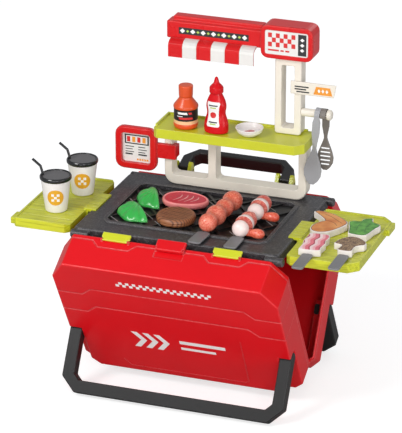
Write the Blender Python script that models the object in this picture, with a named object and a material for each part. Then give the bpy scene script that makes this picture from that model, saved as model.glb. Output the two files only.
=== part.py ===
"""Toy barbecue grill: a red suitcase that stands open as a V on two folding legs.

A worktop with a grill plate is wedged between the two halves, with a side tray
hooked over each end and a small kitchen stand at the back. Metres, +Z up,
X to the right, Y to the back. The origin is on the floor below the hinge line,
halfway between the outer ends of the two side trays.
"""

import math

import bmesh
import bpy

# Driving dimensions of the suitcase
CASE_WIDTH = 0.370
SHELL_DEPTH = 0.062
SHELL_TOP = 0.281
SHELL_FOOT = 0.006
SHELL_WALL = 0.003
CASE_LEAN = math.radians(30)
GAP = 0.0003
OVERRUN = 0.004

# Driving dimensions of the legs
LEG_PIVOT_UP = 0.1025
LEG_PIVOT_OUT = 0.052
LEG_REACH = 0.105
LEG_THICKNESS = 0.020
LEG_BAR = 0.0205
LEG_ARM = 0.0195
LEG_LEAN = math.radians(30)
FOOT_CUT = 0.0017

# Driving dimensions of the worktop and its pegs
WORKTOP_WIDTH = 0.336
WORKTOP_DEPTH = 0.253
WORKTOP_SKIRT = 0.012
PEG_RADIUS = 0.007
PEG_SEAT = 0.2708
PEG_DROP = 0.009
GRILL_LEFT = -0.131
GRILL_RIGHT = 0.131
GRILL_FRONT = -0.086
GRILL_BACK = 0.078

# Driving dimensions of the side trays
LEFT_TRAY_WIDTH = 0.0936
RIGHT_TRAY_WIDTH = 0.114
TRAY_FRONT = -0.123
TRAY_BACK = 0.077
TRAY_THICKNESS = 0.0155
TRAY_LIFT = 0.0012
TONGUE_CENTRE = -0.019
TONGUE_WIDTH = 0.067

# Driving dimensions of the kitchen stand
STAND_FRONT = 0.096
STAND_DEPTH = 0.024
STAND_LEFT = -0.100
STAND_RIGHT = 0.140
STAND_HEIGHT = 0.094
SHELF_LEFT = -0.103
SHELF_RIGHT = 0.1468
SHELF_FRONT = 0.051
SHELF_FASCIA = 0.016
POST_LEFT = 0.086
POST_WIDTH = 0.0435
POST_HEIGHT = 0.1262
SIGN_HEIGHT = 0.0545
HOOK_RADIUS = 0.0065

# Heights and places that follow from the sizes above
HINGE_HEIGHT = (
    LEG_REACH * math.cos(LEG_LEAN)
    + LEG_THICKNESS / 2 * math.sin(LEG_LEAN)
    - FOOT_CUT
    - LEG_PIVOT_UP * math.cos(CASE_LEAN)
    + LEG_PIVOT_OUT * math.sin(CASE_LEAN)
)
PEG_Y = PEG_SEAT * math.sin(CASE_LEAN) - (PEG_RADIUS + GAP) * math.cos(CASE_LEAN)
PEG_Z = (
    HINGE_HEIGHT
    + PEG_SEAT * math.cos(CASE_LEAN)
    + (PEG_RADIUS + GAP) * math.sin(CASE_LEAN)
)
WORKTOP_TOP = PEG_Z + PEG_DROP
CASE_HALF = CASE_WIDTH / 2
WORKTOP_HALF = WORKTOP_WIDTH / 2
WORKTOP_REACH = WORKTOP_DEPTH / 2
STAND_BACK = STAND_FRONT + STAND_DEPTH
SHELF_TOP = WORKTOP_TOP + GAP + STAND_HEIGHT + SHELF_FASCIA
CASE_MIDDLE = (LEFT_TRAY_WIDTH - RIGHT_TRAY_WIDTH) / 2

# Colours: red, green and blue, then roughness
RED = (0.62, 0.010, 0.015, 0.35)
LIME = (0.56, 0.58, 0.020, 0.40)
BLACK = (0.020, 0.020, 0.022, 0.45)
SLATE = (0.085, 0.082, 0.090, 0.50)
WHITE = (0.80, 0.78, 0.73, 0.40)
GREY = (0.30, 0.30, 0.32, 0.40)
BROWN_GREY = (0.17, 0.15, 0.14, 0.45)
ORANGE = (0.72, 0.10, 0.02, 0.30)
GREEN = (0.05, 0.42, 0.06, 0.40)
MEAT = (0.60, 0.05, 0.07, 0.45)
BROWN = (0.28, 0.10, 0.05, 0.55)
SALMON = (0.72, 0.16, 0.09, 0.45)
CREAM = (0.85, 0.72, 0.60, 0.45)


def clear_scene():
    for item in list(bpy.data.objects):
        bpy.data.objects.remove(item, do_unlink=True)


def plastic(name, colour):
    """One Principled material with the piece's own colour and roughness."""
    material = bpy.data.materials.new(name)
    material.use_nodes = True
    shader = material.node_tree.nodes["Principled BSDF"]
    shader.inputs["Base Color"].default_value = (*colour[:3], 1)
    shader.inputs["Roughness"].default_value = colour[3]
    shader.inputs["Metallic"].default_value = 0
    return material


def finish(item, name, colour, parent=None):
    """Names the piece, gives it its material and hangs it on its parent."""
    item.name = name
    item.data.name = name
    item.data.materials.clear()
    item.data.materials.append(plastic(name, colour))
    item.parent = parent
    return item


def empty(name, location, rotation, parent=None):
    item = bpy.data.objects.new(name, None)
    bpy.context.collection.objects.link(item)
    item.location = location
    item.rotation_euler = rotation
    item.parent = parent
    return item


# Tools that make and change solids

FLAT_ANGLE = 0.5


def solid(shape):
    """A linked object from a closed bmesh, with its faces pointing out."""
    bmesh.ops.recalc_face_normals(shape, faces=shape.faces)
    mesh = bpy.data.meshes.new("piece")
    shape.to_mesh(mesh)
    shape.free()
    item = bpy.data.objects.new("piece", mesh)
    bpy.context.collection.objects.link(item)
    return item


def prism(outline, low, high, axis="Z"):
    """A flat outline drawn out along one axis, from low to high.

    The outline's points are (x, y), (x, z) or (y, z) for the axes Z, Y and X.
    """
    order = {
        "Z": lambda u, v, w: (u, v, w),
        "Y": lambda u, v, w: (u, w, v),
        "X": lambda u, v, w: (w, u, v),
    }[axis]
    shape = bmesh.new()
    base = [shape.verts.new(order(u, v, low)) for u, v in outline]
    face = shape.faces.new(base)
    grown = bmesh.ops.extrude_face_region(shape, geom=[face])
    moved = [part for part in grown["geom"] if isinstance(part, bmesh.types.BMVert)]
    bmesh.ops.translate(shape, verts=moved, vec=order(0, 0, high - low))
    return solid(shape)


def block(x_low, x_high, y_low, y_high, z_low, z_high):
    outline = [(x_low, y_low), (x_high, y_low), (x_high, y_high), (x_low, y_high)]
    return prism(outline, z_low, z_high)


def clipped(left, right, low, high, corners, steepness=1):
    """A rectangle whose four corners are cut off.

    The corner widths run: left low, right low, right high, left high. The two
    high corners are as much taller than wide as the steepness says.
    """
    a, b, c, d = corners
    points = [
        (left, low + a), (left + a, low), (right - b, low), (right, low + b),
        (right, high - c * steepness), (right - c, high), (left + d, high),
        (left, high - d * steepness),
    ]
    return [point for i, point in enumerate(points) if point != points[i - 1]]


def rounded(left, right, low, high, radius, steps=4):
    """A rectangle with round corners."""
    centres = [
        (right - radius, high - radius, 0), (left + radius, high - radius, 1),
        (left + radius, low + radius, 2), (right - radius, low + radius, 3),
    ]
    points = []
    for u, v, quarter in centres:
        for step in range(steps + 1):
            angle = math.pi / 2 * (quarter + step / steps)
            points.append((u + radius * math.cos(angle), v + radius * math.sin(angle)))
    return points


def ribbon(points, width):
    """The outline of a line of even width through the points, with mitred bends."""
    sides = [[], []]
    for i, (u, v) in enumerate(points):
        before = points[max(i - 1, 0)]
        after = points[min(i + 1, len(points) - 1)]
        headings = []
        for start, end in ((before, (u, v)), ((u, v), after)):
            if start != end:
                headings.append(math.atan2(end[1] - start[1], end[0] - start[0]))
        turn = (headings[0] + headings[-1]) / 2
        reach = width / 2 / math.cos((headings[-1] - headings[0]) / 2)
        across = (-math.sin(turn) * reach, math.cos(turn) * reach)
        sides[0].append((u + across[0], v + across[1]))
        sides[1].append((u - across[0], v - across[1]))
    return sides[0] + sides[1][::-1]


def lathe(profile, steps=20, axis="Z"):
    """A turned solid. The profile's points are (radius, height), end to end."""
    shape = bmesh.new()
    rings = []
    for radius, height in profile:
        if radius == 0:
            rings.append([shape.verts.new((0, 0, height))])
            continue
        ring = []
        for step in range(steps):
            angle = math.tau * step / steps
            ring.append(
                shape.verts.new((radius * math.cos(angle), radius * math.sin(angle), height))
            )
        rings.append(ring)
    hollow = profile[0][0] > 0 and profile[-1][0] > 0
    pairs = list(zip(rings, rings[1:] + rings[:1])) if hollow else list(zip(rings, rings[1:]))
    for lower, upper in pairs:
        for step in range(steps):
            following = (step + 1) % steps
            corners = [lower[step % len(lower)], lower[following % len(lower)]]
            corners += [upper[following % len(upper)], upper[step % len(upper)]]
            shape.faces.new(list(dict.fromkeys(corners)))
    item = solid(shape)
    turn(item, {"Z": (0, 0, 0), "Y": (-math.pi / 2, 0, 0), "X": (0, math.pi / 2, 0)}[axis])
    return item


def turn(item, angles):
    """Turns the mesh itself about the object's origin."""
    item.rotation_euler = angles
    item.data.transform(item.matrix_basis)
    item.rotation_euler = (0, 0, 0)
    return item


def shift(item, x=0.0, y=0.0, z=0.0):
    """Moves the mesh itself against the object's origin."""
    item.location = (x, y, z)
    item.data.transform(item.matrix_basis)
    item.location = (0, 0, 0)
    return item


def bake(item):
    """Turns the object's modifiers into plain mesh."""
    bpy.context.view_layer.update()
    graph = bpy.context.evaluated_depsgraph_get()
    mesh = bpy.data.meshes.new_from_object(item.evaluated_get(graph))
    item.modifiers.clear()
    item.data = mesh
    return item


def flatten(item):
    """Splits the faces that aren't flat, so that a Boolean can work on them."""
    shape = bmesh.new()
    shape.from_mesh(item.data)
    bmesh.ops.connect_verts_nonplanar(shape, angle_limit=math.radians(FLAT_ANGLE), faces=shape.faces)
    shape.to_mesh(item.data)
    shape.free()
    return item


def soften(item, width, segments=1, angle=35):
    """Bevels the edges that turn by more than the angle, in degrees."""
    edge = item.modifiers.new("soft edges", "BEVEL")
    edge.width = width
    edge.segments = segments
    edge.limit_method = "ANGLE"
    edge.angle_limit = math.radians(angle)
    return flatten(bake(item))


def combine(item, others, operation):
    for other in others:
        change = item.modifiers.new(operation.lower(), "BOOLEAN")
        change.operation = operation
        change.solver = "EXACT"
        change.object = other
        bake(item)
        bpy.data.objects.remove(other, do_unlink=True)
    return item


def join(item, *others):
    return combine(item, others, "UNION")


def cut(item, *others):
    return combine(item, others, "DIFFERENCE")


def smooth(item, angle=40):
    item.data.shade_smooth()
    item.data.set_sharp_from_angle(angle=math.radians(angle))
    return item


# Suitcase halves. In a half's own frame X runs along the hinge line, Z up the
# rim from the hinge line and -Y outward from the rim plane.

RIM_BAND = 0.008
GROOVE_WIDTH = 0.0014
GROOVE_DEPTH = 0.0010
TOP_CORNER = 0.023
TOP_STEEPNESS = 1.5
FOOT_CORNER = 0.014
GUSSET_CORNER = 0.046
LEG_ROOM = 0.0005
LEG_SIDE_ROOM = 0.0005
FACE_FOOT = 0.0190
FACE_FOOT_CORNER = 0.014
LATCH_PLACE = CASE_WIDTH * 0.246
LATCH_WIDTH = 0.046
LATCH_DIP = 0.0115
LATCH_AXIS_OUT = 0.0060
LATCH_AXIS_RISE = 0.0026
LATCH_PIN_RADIUS = 0.0012
LUG_WIDTH = 0.0023
HASP_WIDTH = 0.047
HASP_AXIS_OUT = 0.0090
HANDLE_PIVOT_OUT = 0.008
HANDLE_PIVOT_RISE = 0.0125
PIN_RADIUS = 0.003
KNUCKLE_RADIUS = 0.0055
KNUCKLE_SPAN = 0.040
KNUCKLE_PITCH = CASE_WIDTH * 0.352
LEG_PIN_RADIUS = 0.005


def case_outline(inset, top_corner, foot_corner):
    half = CASE_HALF - inset
    corners = (foot_corner, foot_corner, top_corner, top_corner)
    return clipped(-half, half, SHELL_FOOT + inset, SHELL_TOP - inset, corners, TOP_STEEPNESS)


def leg_recess(grow):
    """The U-shaped room round the face's lower corners that takes the folded leg."""
    outside = CASE_HALF + OVERRUN
    inside = CASE_HALF - LEG_ARM - LEG_SIDE_ROOM - grow
    top = LEG_PIVOT_UP + LEG_THICKNESS / 2 + LEG_ROOM + grow
    foot = FACE_FOOT + grow
    corner = FACE_FOOT_CORNER
    below = SHELL_FOOT - OVERRUN
    return [
        (-outside, top), (-inside, top), (-inside, foot + corner), (-inside + corner, foot),
        (inside - corner, foot), (inside, foot + corner), (inside, top), (outside, top),
        (outside, below), (-outside, below),
    ]


def face_groove(height, drop, inner, outer):
    """A step line across the face: high between the inner points, low outside them."""
    edge = CASE_HALF + OVERRUN
    points = [
        (-edge, height - drop), (-outer, height - drop), (-inner, height),
        (inner, height), (outer, height - drop), (edge, height - drop),
    ]
    line = prism(
        ribbon(points, GROOVE_WIDTH), -SHELL_DEPTH - OVERRUN, -SHELL_DEPTH + GROOVE_DEPTH, "Y"
    )
    low = height - drop - GROOVE_WIDTH / 2
    sides = []
    for side in (-1, 1):
        reach = sorted((side * (CASE_HALF - GROOVE_DEPTH), side * edge))
        sides.append(
            block(*reach, -SHELL_DEPTH - OVERRUN, -RIM_BAND, low, low + GROOVE_WIDTH)
        )
    return [join(line, *sides)]


def rim_groove(dips):
    """The line that sets the rim band off, with a dip round each latch."""
    around = prism(
        case_outline(-OVERRUN, TOP_CORNER, FOOT_CORNER),
        -RIM_BAND - GROOVE_WIDTH / 2, -RIM_BAND + GROOVE_WIDTH / 2, "Y",
    )
    core = prism(
        case_outline(GROOVE_DEPTH, TOP_CORNER, FOOT_CORNER), -SHELL_DEPTH, 0, "Y"
    )
    straight = CASE_HALF - TOP_CORNER
    keep = block(-straight, straight, -SHELL_DEPTH, 0, SHELL_TOP - OVERRUN, SHELL_TOP + 2 * OVERRUN)
    cut(around, core, keep)
    points = [(-straight, -RIM_BAND)]
    for place in dips:
        near = LATCH_WIDTH / 2 + RIM_BAND / 4
        far = near + LATCH_DIP
        for reach, drop in ((-far, 0), (-near, LATCH_DIP), (near, LATCH_DIP), (far, 0)):
            points.append((place + reach, -RIM_BAND - drop))
    points.append((straight, -RIM_BAND))
    top = prism(ribbon(points, GROOVE_WIDTH), SHELL_TOP - GROOVE_DEPTH, SHELL_TOP + OVERRUN)
    return [around, top]


def knuckles(places):
    """Hinge eyes on the hinge line, each with a tab to the foot of the half."""
    eyes = []
    for place in places:
        eye = lathe(
            [
                (0, -KNUCKLE_SPAN / 2), (KNUCKLE_RADIUS, -KNUCKLE_SPAN / 2),
                (KNUCKLE_RADIUS, KNUCKLE_SPAN / 2), (0, KNUCKLE_SPAN / 2),
            ],
            16, "X",
        )
        tab_half = KNUCKLE_SPAN / 2 - KNUCKLE_RADIUS / 4
        tab = block(
            -tab_half, tab_half, -KNUCKLE_RADIUS * 0.9, -GAP,
            PIN_RADIUS * 0.3, SHELL_FOOT + SHELL_WALL / 2,
        )
        eyes.append(shift(join(eye, tab), x=place))
    return eyes


def shell(dips, eye_places):
    body = prism(case_outline(0, TOP_CORNER, FOOT_CORNER), -SHELL_DEPTH, 0, "Y")
    recess_floor = -LEG_PIVOT_OUT + LEG_THICKNESS / 2 + LEG_ROOM
    recess = prism(leg_recess(0), -SHELL_DEPTH - OVERRUN, recess_floor, "Y")
    soften(cut(body, recess), SHELL_WALL * 0.7, 2)
    inside = prism(
        case_outline(SHELL_WALL, GUSSET_CORNER, FOOT_CORNER),
        -SHELL_DEPTH + SHELL_WALL, OVERRUN, "Y",
    )
    walls = prism(leg_recess(SHELL_WALL), -SHELL_DEPTH, recess_floor + SHELL_WALL, "Y")
    cut(body, cut(inside, walls))
    join(body, *knuckles(eye_places))
    bore = lathe(
        [
            (0, -CASE_HALF), (PIN_RADIUS + GAP, -CASE_HALF),
            (PIN_RADIUS + GAP, CASE_HALF), (0, CASE_HALF),
        ],
        16, "X",
    )
    pivot = lathe(
        [
            (0, -CASE_HALF), (LEG_PIN_RADIUS + GAP, -CASE_HALF),
            (LEG_PIN_RADIUS + GAP, CASE_HALF), (0, CASE_HALF),
        ],
        16, "X",
    )
    shift(pivot, y=-LEG_PIVOT_OUT, z=LEG_PIVOT_UP)
    cut(body, bore, pivot)
    inner = CASE_HALF * 0.68
    slope = CASE_HALF * 0.09
    first = SHELL_TOP * 0.80
    second = SHELL_TOP * 0.64
    step = SHELL_TOP * 0.055
    cut(body, *face_groove(first, step, inner, inner + slope))
    cut(body, *face_groove(second, step, inner, inner + slope))
    return cut(body, *rim_groove(dips))


def latch_lugs(body, place, width, axis_out, axis_rise, pin_radius, lug_width):
    """Two ears on the top wall, at the ends of a latch's axis."""
    ear_half = axis_rise * 0.8
    for side in (-1, 1):
        outer = place + side * width / 2
        reach = sorted((outer, outer - side * lug_width))
        ear = block(
            *reach, -axis_out - ear_half, -axis_out + ear_half,
            SHELL_TOP - SHELL_WALL * 0.8, SHELL_TOP + axis_rise + ear_half,
        )
        join(body, ear)
    hole = lathe(
        [
            (0, -width / 2 - OVERRUN), (pin_radius + GAP, -width / 2 - OVERRUN),
            (pin_radius + GAP, width / 2 + OVERRUN), (0, width / 2 + OVERRUN),
        ],
        12, "X",
    )
    cut(body, shift(hole, x=place, y=-axis_out, z=SHELL_TOP + axis_rise))


def front_shell(half):
    body = shell((-LATCH_PLACE, LATCH_PLACE), (-KNUCKLE_PITCH, 0, KNUCKLE_PITCH))
    pocket_half = HASP_WIDTH / 2
    pocket = block(
        -pocket_half, pocket_half, -HASP_AXIS_OUT * 2.6, -HASP_AXIS_OUT * 0.4,
        SHELL_TOP - SHELL_WALL / 2, SHELL_TOP + OVERRUN,
    )
    cut(body, pocket)
    for place in (-LATCH_PLACE, LATCH_PLACE):
        latch_lugs(
            body, place, LATCH_WIDTH, LATCH_AXIS_OUT, LATCH_AXIS_RISE, LATCH_PIN_RADIUS, LUG_WIDTH
        )
    latch_lugs(
        body, 0, HASP_WIDTH, HASP_AXIS_OUT, LATCH_AXIS_RISE, LATCH_PIN_RADIUS, LUG_WIDTH
    )
    return finish(body, "front_shell", RED, half)


def rear_shell(half):
    places = (-KNUCKLE_PITCH + KNUCKLE_SPAN * 1.1, KNUCKLE_PITCH - KNUCKLE_SPAN * 1.1)
    return finish(shell((), places), "rear_shell", RED, half)


def hinge_pin():
    length = 2 * KNUCKLE_PITCH + KNUCKLE_SPAN + PIN_RADIUS
    pin = lathe(
        [(0, -length / 2), (PIN_RADIUS, -length / 2), (PIN_RADIUS, length / 2), (0, length / 2)],
        16, "X",
    )
    finish(smooth(pin), "hinge_pin", GREY)
    pin.location = (CASE_MIDDLE, 0, HINGE_HEIGHT)


# Legs. A leg's own frame has its origin on the pivot axis and -Z down the arms.

LEG_CORNER = 0.024
LEG_INNER_CORNER = 0.010
LEG_END_SHARE = 0.51


def leg(name, half):
    outside = CASE_HALF
    inside = CASE_HALF - LEG_ARM
    end_radius = LEG_THICKNESS * LEG_END_SHARE
    top = end_radius + OVERRUN
    bar_top = LEG_BAR - LEG_REACH
    outline = [
        (-outside, top), (-outside, LEG_CORNER - LEG_REACH), (LEG_CORNER - outside, -LEG_REACH),
        (outside - LEG_CORNER, -LEG_REACH), (outside, LEG_CORNER - LEG_REACH), (outside, top),
        (inside, top), (inside, bar_top + LEG_INNER_CORNER), (inside - LEG_INNER_CORNER, bar_top),
        (LEG_INNER_CORNER - inside, bar_top), (-inside, bar_top + LEG_INNER_CORNER),
        (-inside, top),
    ]
    body = prism(outline, -LEG_THICKNESS / 2, LEG_THICKNESS / 2, "Y")
    below = -LEG_REACH - OVERRUN
    end = [(-LEG_THICKNESS, 0), (-LEG_THICKNESS, below), (LEG_THICKNESS, below), (LEG_THICKNESS, 0)]
    end_steps = 10
    for step in range(end_steps + 1):
        angle = math.pi * step / end_steps
        end.append((end_radius * math.cos(angle), end_radius * math.sin(angle)))
    profile = prism(end, -outside - OVERRUN, outside + OVERRUN, "X")
    combine(body, [profile], "INTERSECT")
    soften(body, LEG_THICKNESS * 0.06)
    for side in (-1, 1):
        length = SHELL_WALL + LEG_SIDE_ROOM + OVERRUN
        pin = lathe(
            [
                (0, -length / 2), (LEG_PIN_RADIUS, -length / 2),
                (LEG_PIN_RADIUS, length / 2), (0, length / 2),
            ],
            16, "X",
        )
        root = side * (inside - SHELL_WALL - LEG_SIDE_ROOM + length / 2)
        join(body, shift(pin, x=root))
    body.parent = half
    body.location = (0, -LEG_PIVOT_OUT, LEG_PIVOT_UP)
    body.rotation_euler = (-CASE_LEAN - LEG_LEAN, 0, 0)
    floor = block(
        -CASE_WIDTH, CASE_WIDTH, -CASE_WIDTH, CASE_WIDTH, -LEG_THICKNESS, 0
    )
    cut(body, floor)
    return finish(body, name, BLACK, half)


# Latches and hasp, hinged at their outer edge on the front half's top wall.

LATCH_PLATE = 0.0042
LATCH_OUTER = 0.0068
LATCH_HOOK = 0.0080
LATCH_CORNER = 0.0060
HASP_PLATE = 0.0062
HASP_OUTER = 0.0120
HASP_CORNER = 0.0040


def latch(name, place, width, axis_out, outer, plate, corner, colour, half):
    """A plate from the hook edge over the rim plane to the outer edge."""
    ear = LUG_WIDTH + GAP
    body_half = width / 2
    outline = clipped(
        -body_half, body_half, axis_out - outer, LATCH_HOOK + axis_out, (corner, corner, 0, 0)
    )
    low = GAP - LATCH_AXIS_RISE
    body = soften(prism(outline, low, low + plate), plate * 0.15)
    clear = LATCH_AXIS_RISE + GAP * 2
    for side in (-1, 1):
        reach = sorted((side * (body_half - ear), side * (body_half + OVERRUN)))
        cut(body, block(*reach, -outer, clear, -plate, plate * 2))
    length = width - 2 * GAP
    pin = lathe(
        [
            (0, -length / 2), (LATCH_PIN_RADIUS, -length / 2),
            (LATCH_PIN_RADIUS, length / 2), (0, length / 2),
        ],
        12, "X",
    )
    join(body, pin)
    finish(body, name, colour, half)
    body.location = (place, -axis_out, SHELL_TOP + LATCH_AXIS_RISE)


def latches(half):
    for name, place in (("latch_left", -LATCH_PLACE), ("latch_right", LATCH_PLACE)):
        latch(
            name, place, LATCH_WIDTH, LATCH_AXIS_OUT, LATCH_OUTER, LATCH_PLATE, LATCH_CORNER,
            LIME, half,
        )
    latch(
        "center_hasp", 0, HASP_WIDTH, HASP_AXIS_OUT, HASP_OUTER, HASP_PLATE, HASP_CORNER,
        RED, half,
    )


# Carry handle and its two lime brackets on the rear half.

HANDLE_HALF = 0.0954
HANDLE_LENGTH = 0.045
HANDLE_BAR = 0.012
HANDLE_ARM = 0.017
HANDLE_STRAP = 0.023
HANDLE_CORNER = 0.021
HANDLE_INNER_CORNER = 0.009
HANDLE_END = 0.006
HANDLE_LEAN = math.radians(42)
HANDLE_PIN_RADIUS = 0.003
FIN_THICKNESS = 0.006
FIN_FRONT = 0.004
FIN_BACK = 0.020
FIN_RISE = 0.025


def carry_handle(half):
    outside = HANDLE_HALF
    inside = outside - HANDLE_ARM
    under = HANDLE_LENGTH - HANDLE_BAR
    corner = HANDLE_CORNER
    small = HANDLE_INNER_CORNER
    outline = [
        (-outside, -HANDLE_END), (-inside, -HANDLE_END), (-inside, under - small),
        (small - inside, under), (inside - small, under), (inside, under - small),
        (inside, -HANDLE_END), (outside, -HANDLE_END), (outside, HANDLE_LENGTH - corner),
        (outside - corner, HANDLE_LENGTH), (corner - outside, HANDLE_LENGTH),
        (-outside, HANDLE_LENGTH - corner),
    ]
    body = prism(outline, -HANDLE_STRAP / 2, HANDLE_STRAP / 2, "Y")
    soften(body, HANDLE_BAR * 0.12)
    length = 2 * (HANDLE_HALF + FIN_THICKNESS)
    pin = lathe(
        [
            (0, -length / 2), (HANDLE_PIN_RADIUS, -length / 2),
            (HANDLE_PIN_RADIUS, length / 2), (0, length / 2),
        ],
        16, "X",
    )
    middle = inside - FIN_THICKNESS
    gap_block = block(
        -middle, middle, -HANDLE_STRAP, HANDLE_STRAP, -HANDLE_END, HANDLE_END
    )
    join(body, cut(pin, gap_block))
    finish(body, "carry_handle", BLACK, half)
    body.location = (0, -HANDLE_PIVOT_OUT, SHELL_TOP + HANDLE_PIVOT_RISE)
    body.rotation_euler = (HANDLE_LEAN, 0, 0)


def handle_bracket(name, side, half):
    """Two shark-fin ears either side of one handle arm, joined by a foot plate."""
    foot = SHELL_TOP + GAP
    fin = [
        (FIN_FRONT, 0), (-FIN_BACK, 0), (-FIN_BACK * 0.9, FIN_RISE * 0.30),
        (-FIN_BACK * 0.55, FIN_RISE * 0.72), (-FIN_BACK * 0.15, FIN_RISE * 0.97),
        (FIN_FRONT * 0.5, FIN_RISE), (FIN_FRONT, FIN_RISE * 0.88),
    ]
    inner = HANDLE_HALF - HANDLE_ARM
    near = inner - GAP * 2
    far = HANDLE_HALF + GAP * 2
    body = prism(fin, near - FIN_THICKNESS, near, "X")
    other = prism(fin, far, far + FIN_THICKNESS, "X")
    plate_thickness = SHELL_WALL / 3
    plate = block(
        near - FIN_THICKNESS / 2, far + FIN_THICKNESS / 2, FIN_FRONT - FIN_BACK / 4, FIN_FRONT,
        0, plate_thickness,
    )
    join(body, plate, other)
    hole = lathe(
        [
            (0, 0), (HANDLE_PIN_RADIUS + GAP, 0),
            (HANDLE_PIN_RADIUS + GAP, CASE_HALF), (0, CASE_HALF),
        ],
        16, "X",
    )
    cut(body, shift(hole, y=-HANDLE_PIVOT_OUT, z=HANDLE_PIVOT_RISE - GAP))
    if side < 0:
        turn(body, (0, 0, math.pi))
        mirrored = body.data
        for vertex in mirrored.vertices:
            vertex.co.y = -vertex.co.y
        mirrored.flip_normals()
    finish(body, name, LIME, half)
    body.location = (0, 0, foot)


# Worktop, with its pegs, grill pan and tray notches.

WORKTOP_PLATE = 0.004
WORKTOP_WALL = 0.003
WORKTOP_CORNER = 0.006
WORKTOP_BACK_CORNER = 0.014
WORKTOP_FLARE = 0.005
PEG_LENGTH = 0.030
RIGHT_PEG_TIP = 0.0094
LEFT_PEG_TIP = 0.0030
PAN_FLOOR = 0.0055
PAN_RIM = 0.006
PAN_RIM_RISE = 0.0025
PAN_CORNER = 0.012
NOTCH_DEPTH = 0.003
NOTCH_REACH = 0.0086
NOTCH_ROOM = 0.0006
GRILL_SLAB = 0.002
GRILL_BAR_RISE = 0.0030
GRILL_BAR_WIDTH = 0.004
GRILL_BAR_COUNT = 7
GRILL_ROOM = 0.001


def worktop_frame():
    return empty("worktop_frame", (CASE_MIDDLE, 0, WORKTOP_TOP), (0, 0, 0))


def worktop(frame):
    half = WORKTOP_HALF
    reach = WORKTOP_REACH
    corners = (WORKTOP_CORNER, WORKTOP_CORNER, WORKTOP_BACK_CORNER, WORKTOP_BACK_CORNER)
    body = prism(clipped(-half, half, -reach, reach, corners), -WORKTOP_SKIRT, 0)
    for vertex in body.data.vertices:
        if vertex.co.z < -WORKTOP_SKIRT / 2:
            vertex.co.x += math.copysign(WORKTOP_FLARE, vertex.co.x)
    rim = PAN_RIM
    raised = prism(
        clipped(
            GRILL_LEFT - rim, GRILL_RIGHT + rim, GRILL_FRONT - rim, GRILL_BACK + rim,
            (PAN_CORNER,) * 4,
        ),
        -WORKTOP_PLATE / 2, PAN_RIM_RISE,
    )
    join(soften(body, WORKTOP_PLATE * 0.4), soften(raised, PAN_RIM_RISE * 0.35))
    wall = WORKTOP_WALL
    under = prism(
        clipped(-half + wall, half - wall, -reach + wall, reach - wall, corners),
        -WORKTOP_SKIRT - OVERRUN, -WORKTOP_PLATE,
    )
    pan = block(
        GRILL_LEFT - wall, GRILL_RIGHT + wall, GRILL_FRONT - wall, GRILL_BACK + wall,
        -PAN_FLOOR - wall, 0,
    )
    cut(body, cut(under, pan))
    well = prism(
        clipped(GRILL_LEFT, GRILL_RIGHT, GRILL_FRONT, GRILL_BACK, (PAN_CORNER * 0.7,) * 4),
        -PAN_FLOOR, PAN_RIM_RISE + OVERRUN,
    )
    cut(body, well)
    for side in (-1, 1):
        ends = sorted((side * (half - NOTCH_REACH), side * (half + OVERRUN)))
        notch_half = TONGUE_WIDTH / 2 + NOTCH_ROOM
        cut(body, block(
            *ends, TONGUE_CENTRE - notch_half, TONGUE_CENTRE + notch_half, -NOTCH_DEPTH, OVERRUN
        ))
        for depth_side in (-1, 1):
            peg = lathe(
                [
                    (0, -PEG_LENGTH / 2), (PEG_RADIUS * 0.8, -PEG_LENGTH / 2),
                    (PEG_RADIUS, -PEG_LENGTH / 2 + PEG_RADIUS * 0.2),
                    (PEG_RADIUS, PEG_LENGTH / 2 - PEG_RADIUS * 0.2),
                    (PEG_RADIUS * 0.8, PEG_LENGTH / 2), (0, PEG_LENGTH / 2),
                ],
                16, "X",
            )
            tip = LEFT_PEG_TIP if side < 0 else RIGHT_PEG_TIP
            place = side * (half + tip - PEG_LENGTH / 2)
            join(body, shift(peg, x=place, y=depth_side * PEG_Y, z=-PEG_DROP))
    return finish(body, "worktop", SLATE, frame)


def grill_plate(frame):
    """A thin slab with crossing diagonal bars, laid in the worktop's pan."""
    room = GRILL_ROOM
    outline = clipped(
        GRILL_LEFT + room, GRILL_RIGHT - room, GRILL_FRONT + room, GRILL_BACK - room,
        (PAN_CORNER * 0.7,) * 4,
    )
    low = GAP - PAN_FLOOR
    body = prism(outline, low, low + GRILL_SLAB)
    width = GRILL_RIGHT - GRILL_LEFT
    depth = GRILL_BACK - GRILL_FRONT
    middle = ((GRILL_LEFT + GRILL_RIGHT) / 2, (GRILL_FRONT + GRILL_BACK) / 2)
    bars = []
    for lean in (-1, 1):
        for count in range(GRILL_BAR_COUNT):
            place = middle[0] + width * (count - (GRILL_BAR_COUNT - 1) / 2) / (GRILL_BAR_COUNT - 1)
            across = depth * 0.40
            start = (place - lean * across, middle[1] - depth * 0.52)
            end = (place + lean * across, middle[1] + depth * 0.52)
            bars.append(prism(
                ribbon([start, end], GRILL_BAR_WIDTH),
                low + GRILL_SLAB / 2, low + GRILL_SLAB + GRILL_BAR_RISE,
            ))
    lattice = join(bars[0], *bars[1:])
    trim = prism(outline, low, low + GRILL_SLAB + 2 * GRILL_BAR_RISE)
    combine(lattice, [trim], "INTERSECT")
    join(body, lattice)
    return finish(body, "grill_plate", BLACK, frame)


GRILL_TOP = GAP - PAN_FLOOR + GRILL_SLAB + GRILL_BAR_RISE


# Side trays. Their tongues lie in the worktop's notches.

TRAY_OUT = 0.010
TRAY_CORNER = 0.015
TRAY_RIM = 0.003
TRAY_RIM_RISE = 0.002
PLANK_COUNT = 9
TONGUE_THICKNESS = 0.005
HEEL_ROOM = 0.0006
TONGUE_RIBS = 6
STEP_REACH = 0.006
LEFT_STEP = (0.003, 0.028)
RIGHT_STEP = (0.153, 0.186)


def tray_width(side):
    return LEFT_TRAY_WIDTH if side < 0 else RIGHT_TRAY_WIDTH


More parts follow.
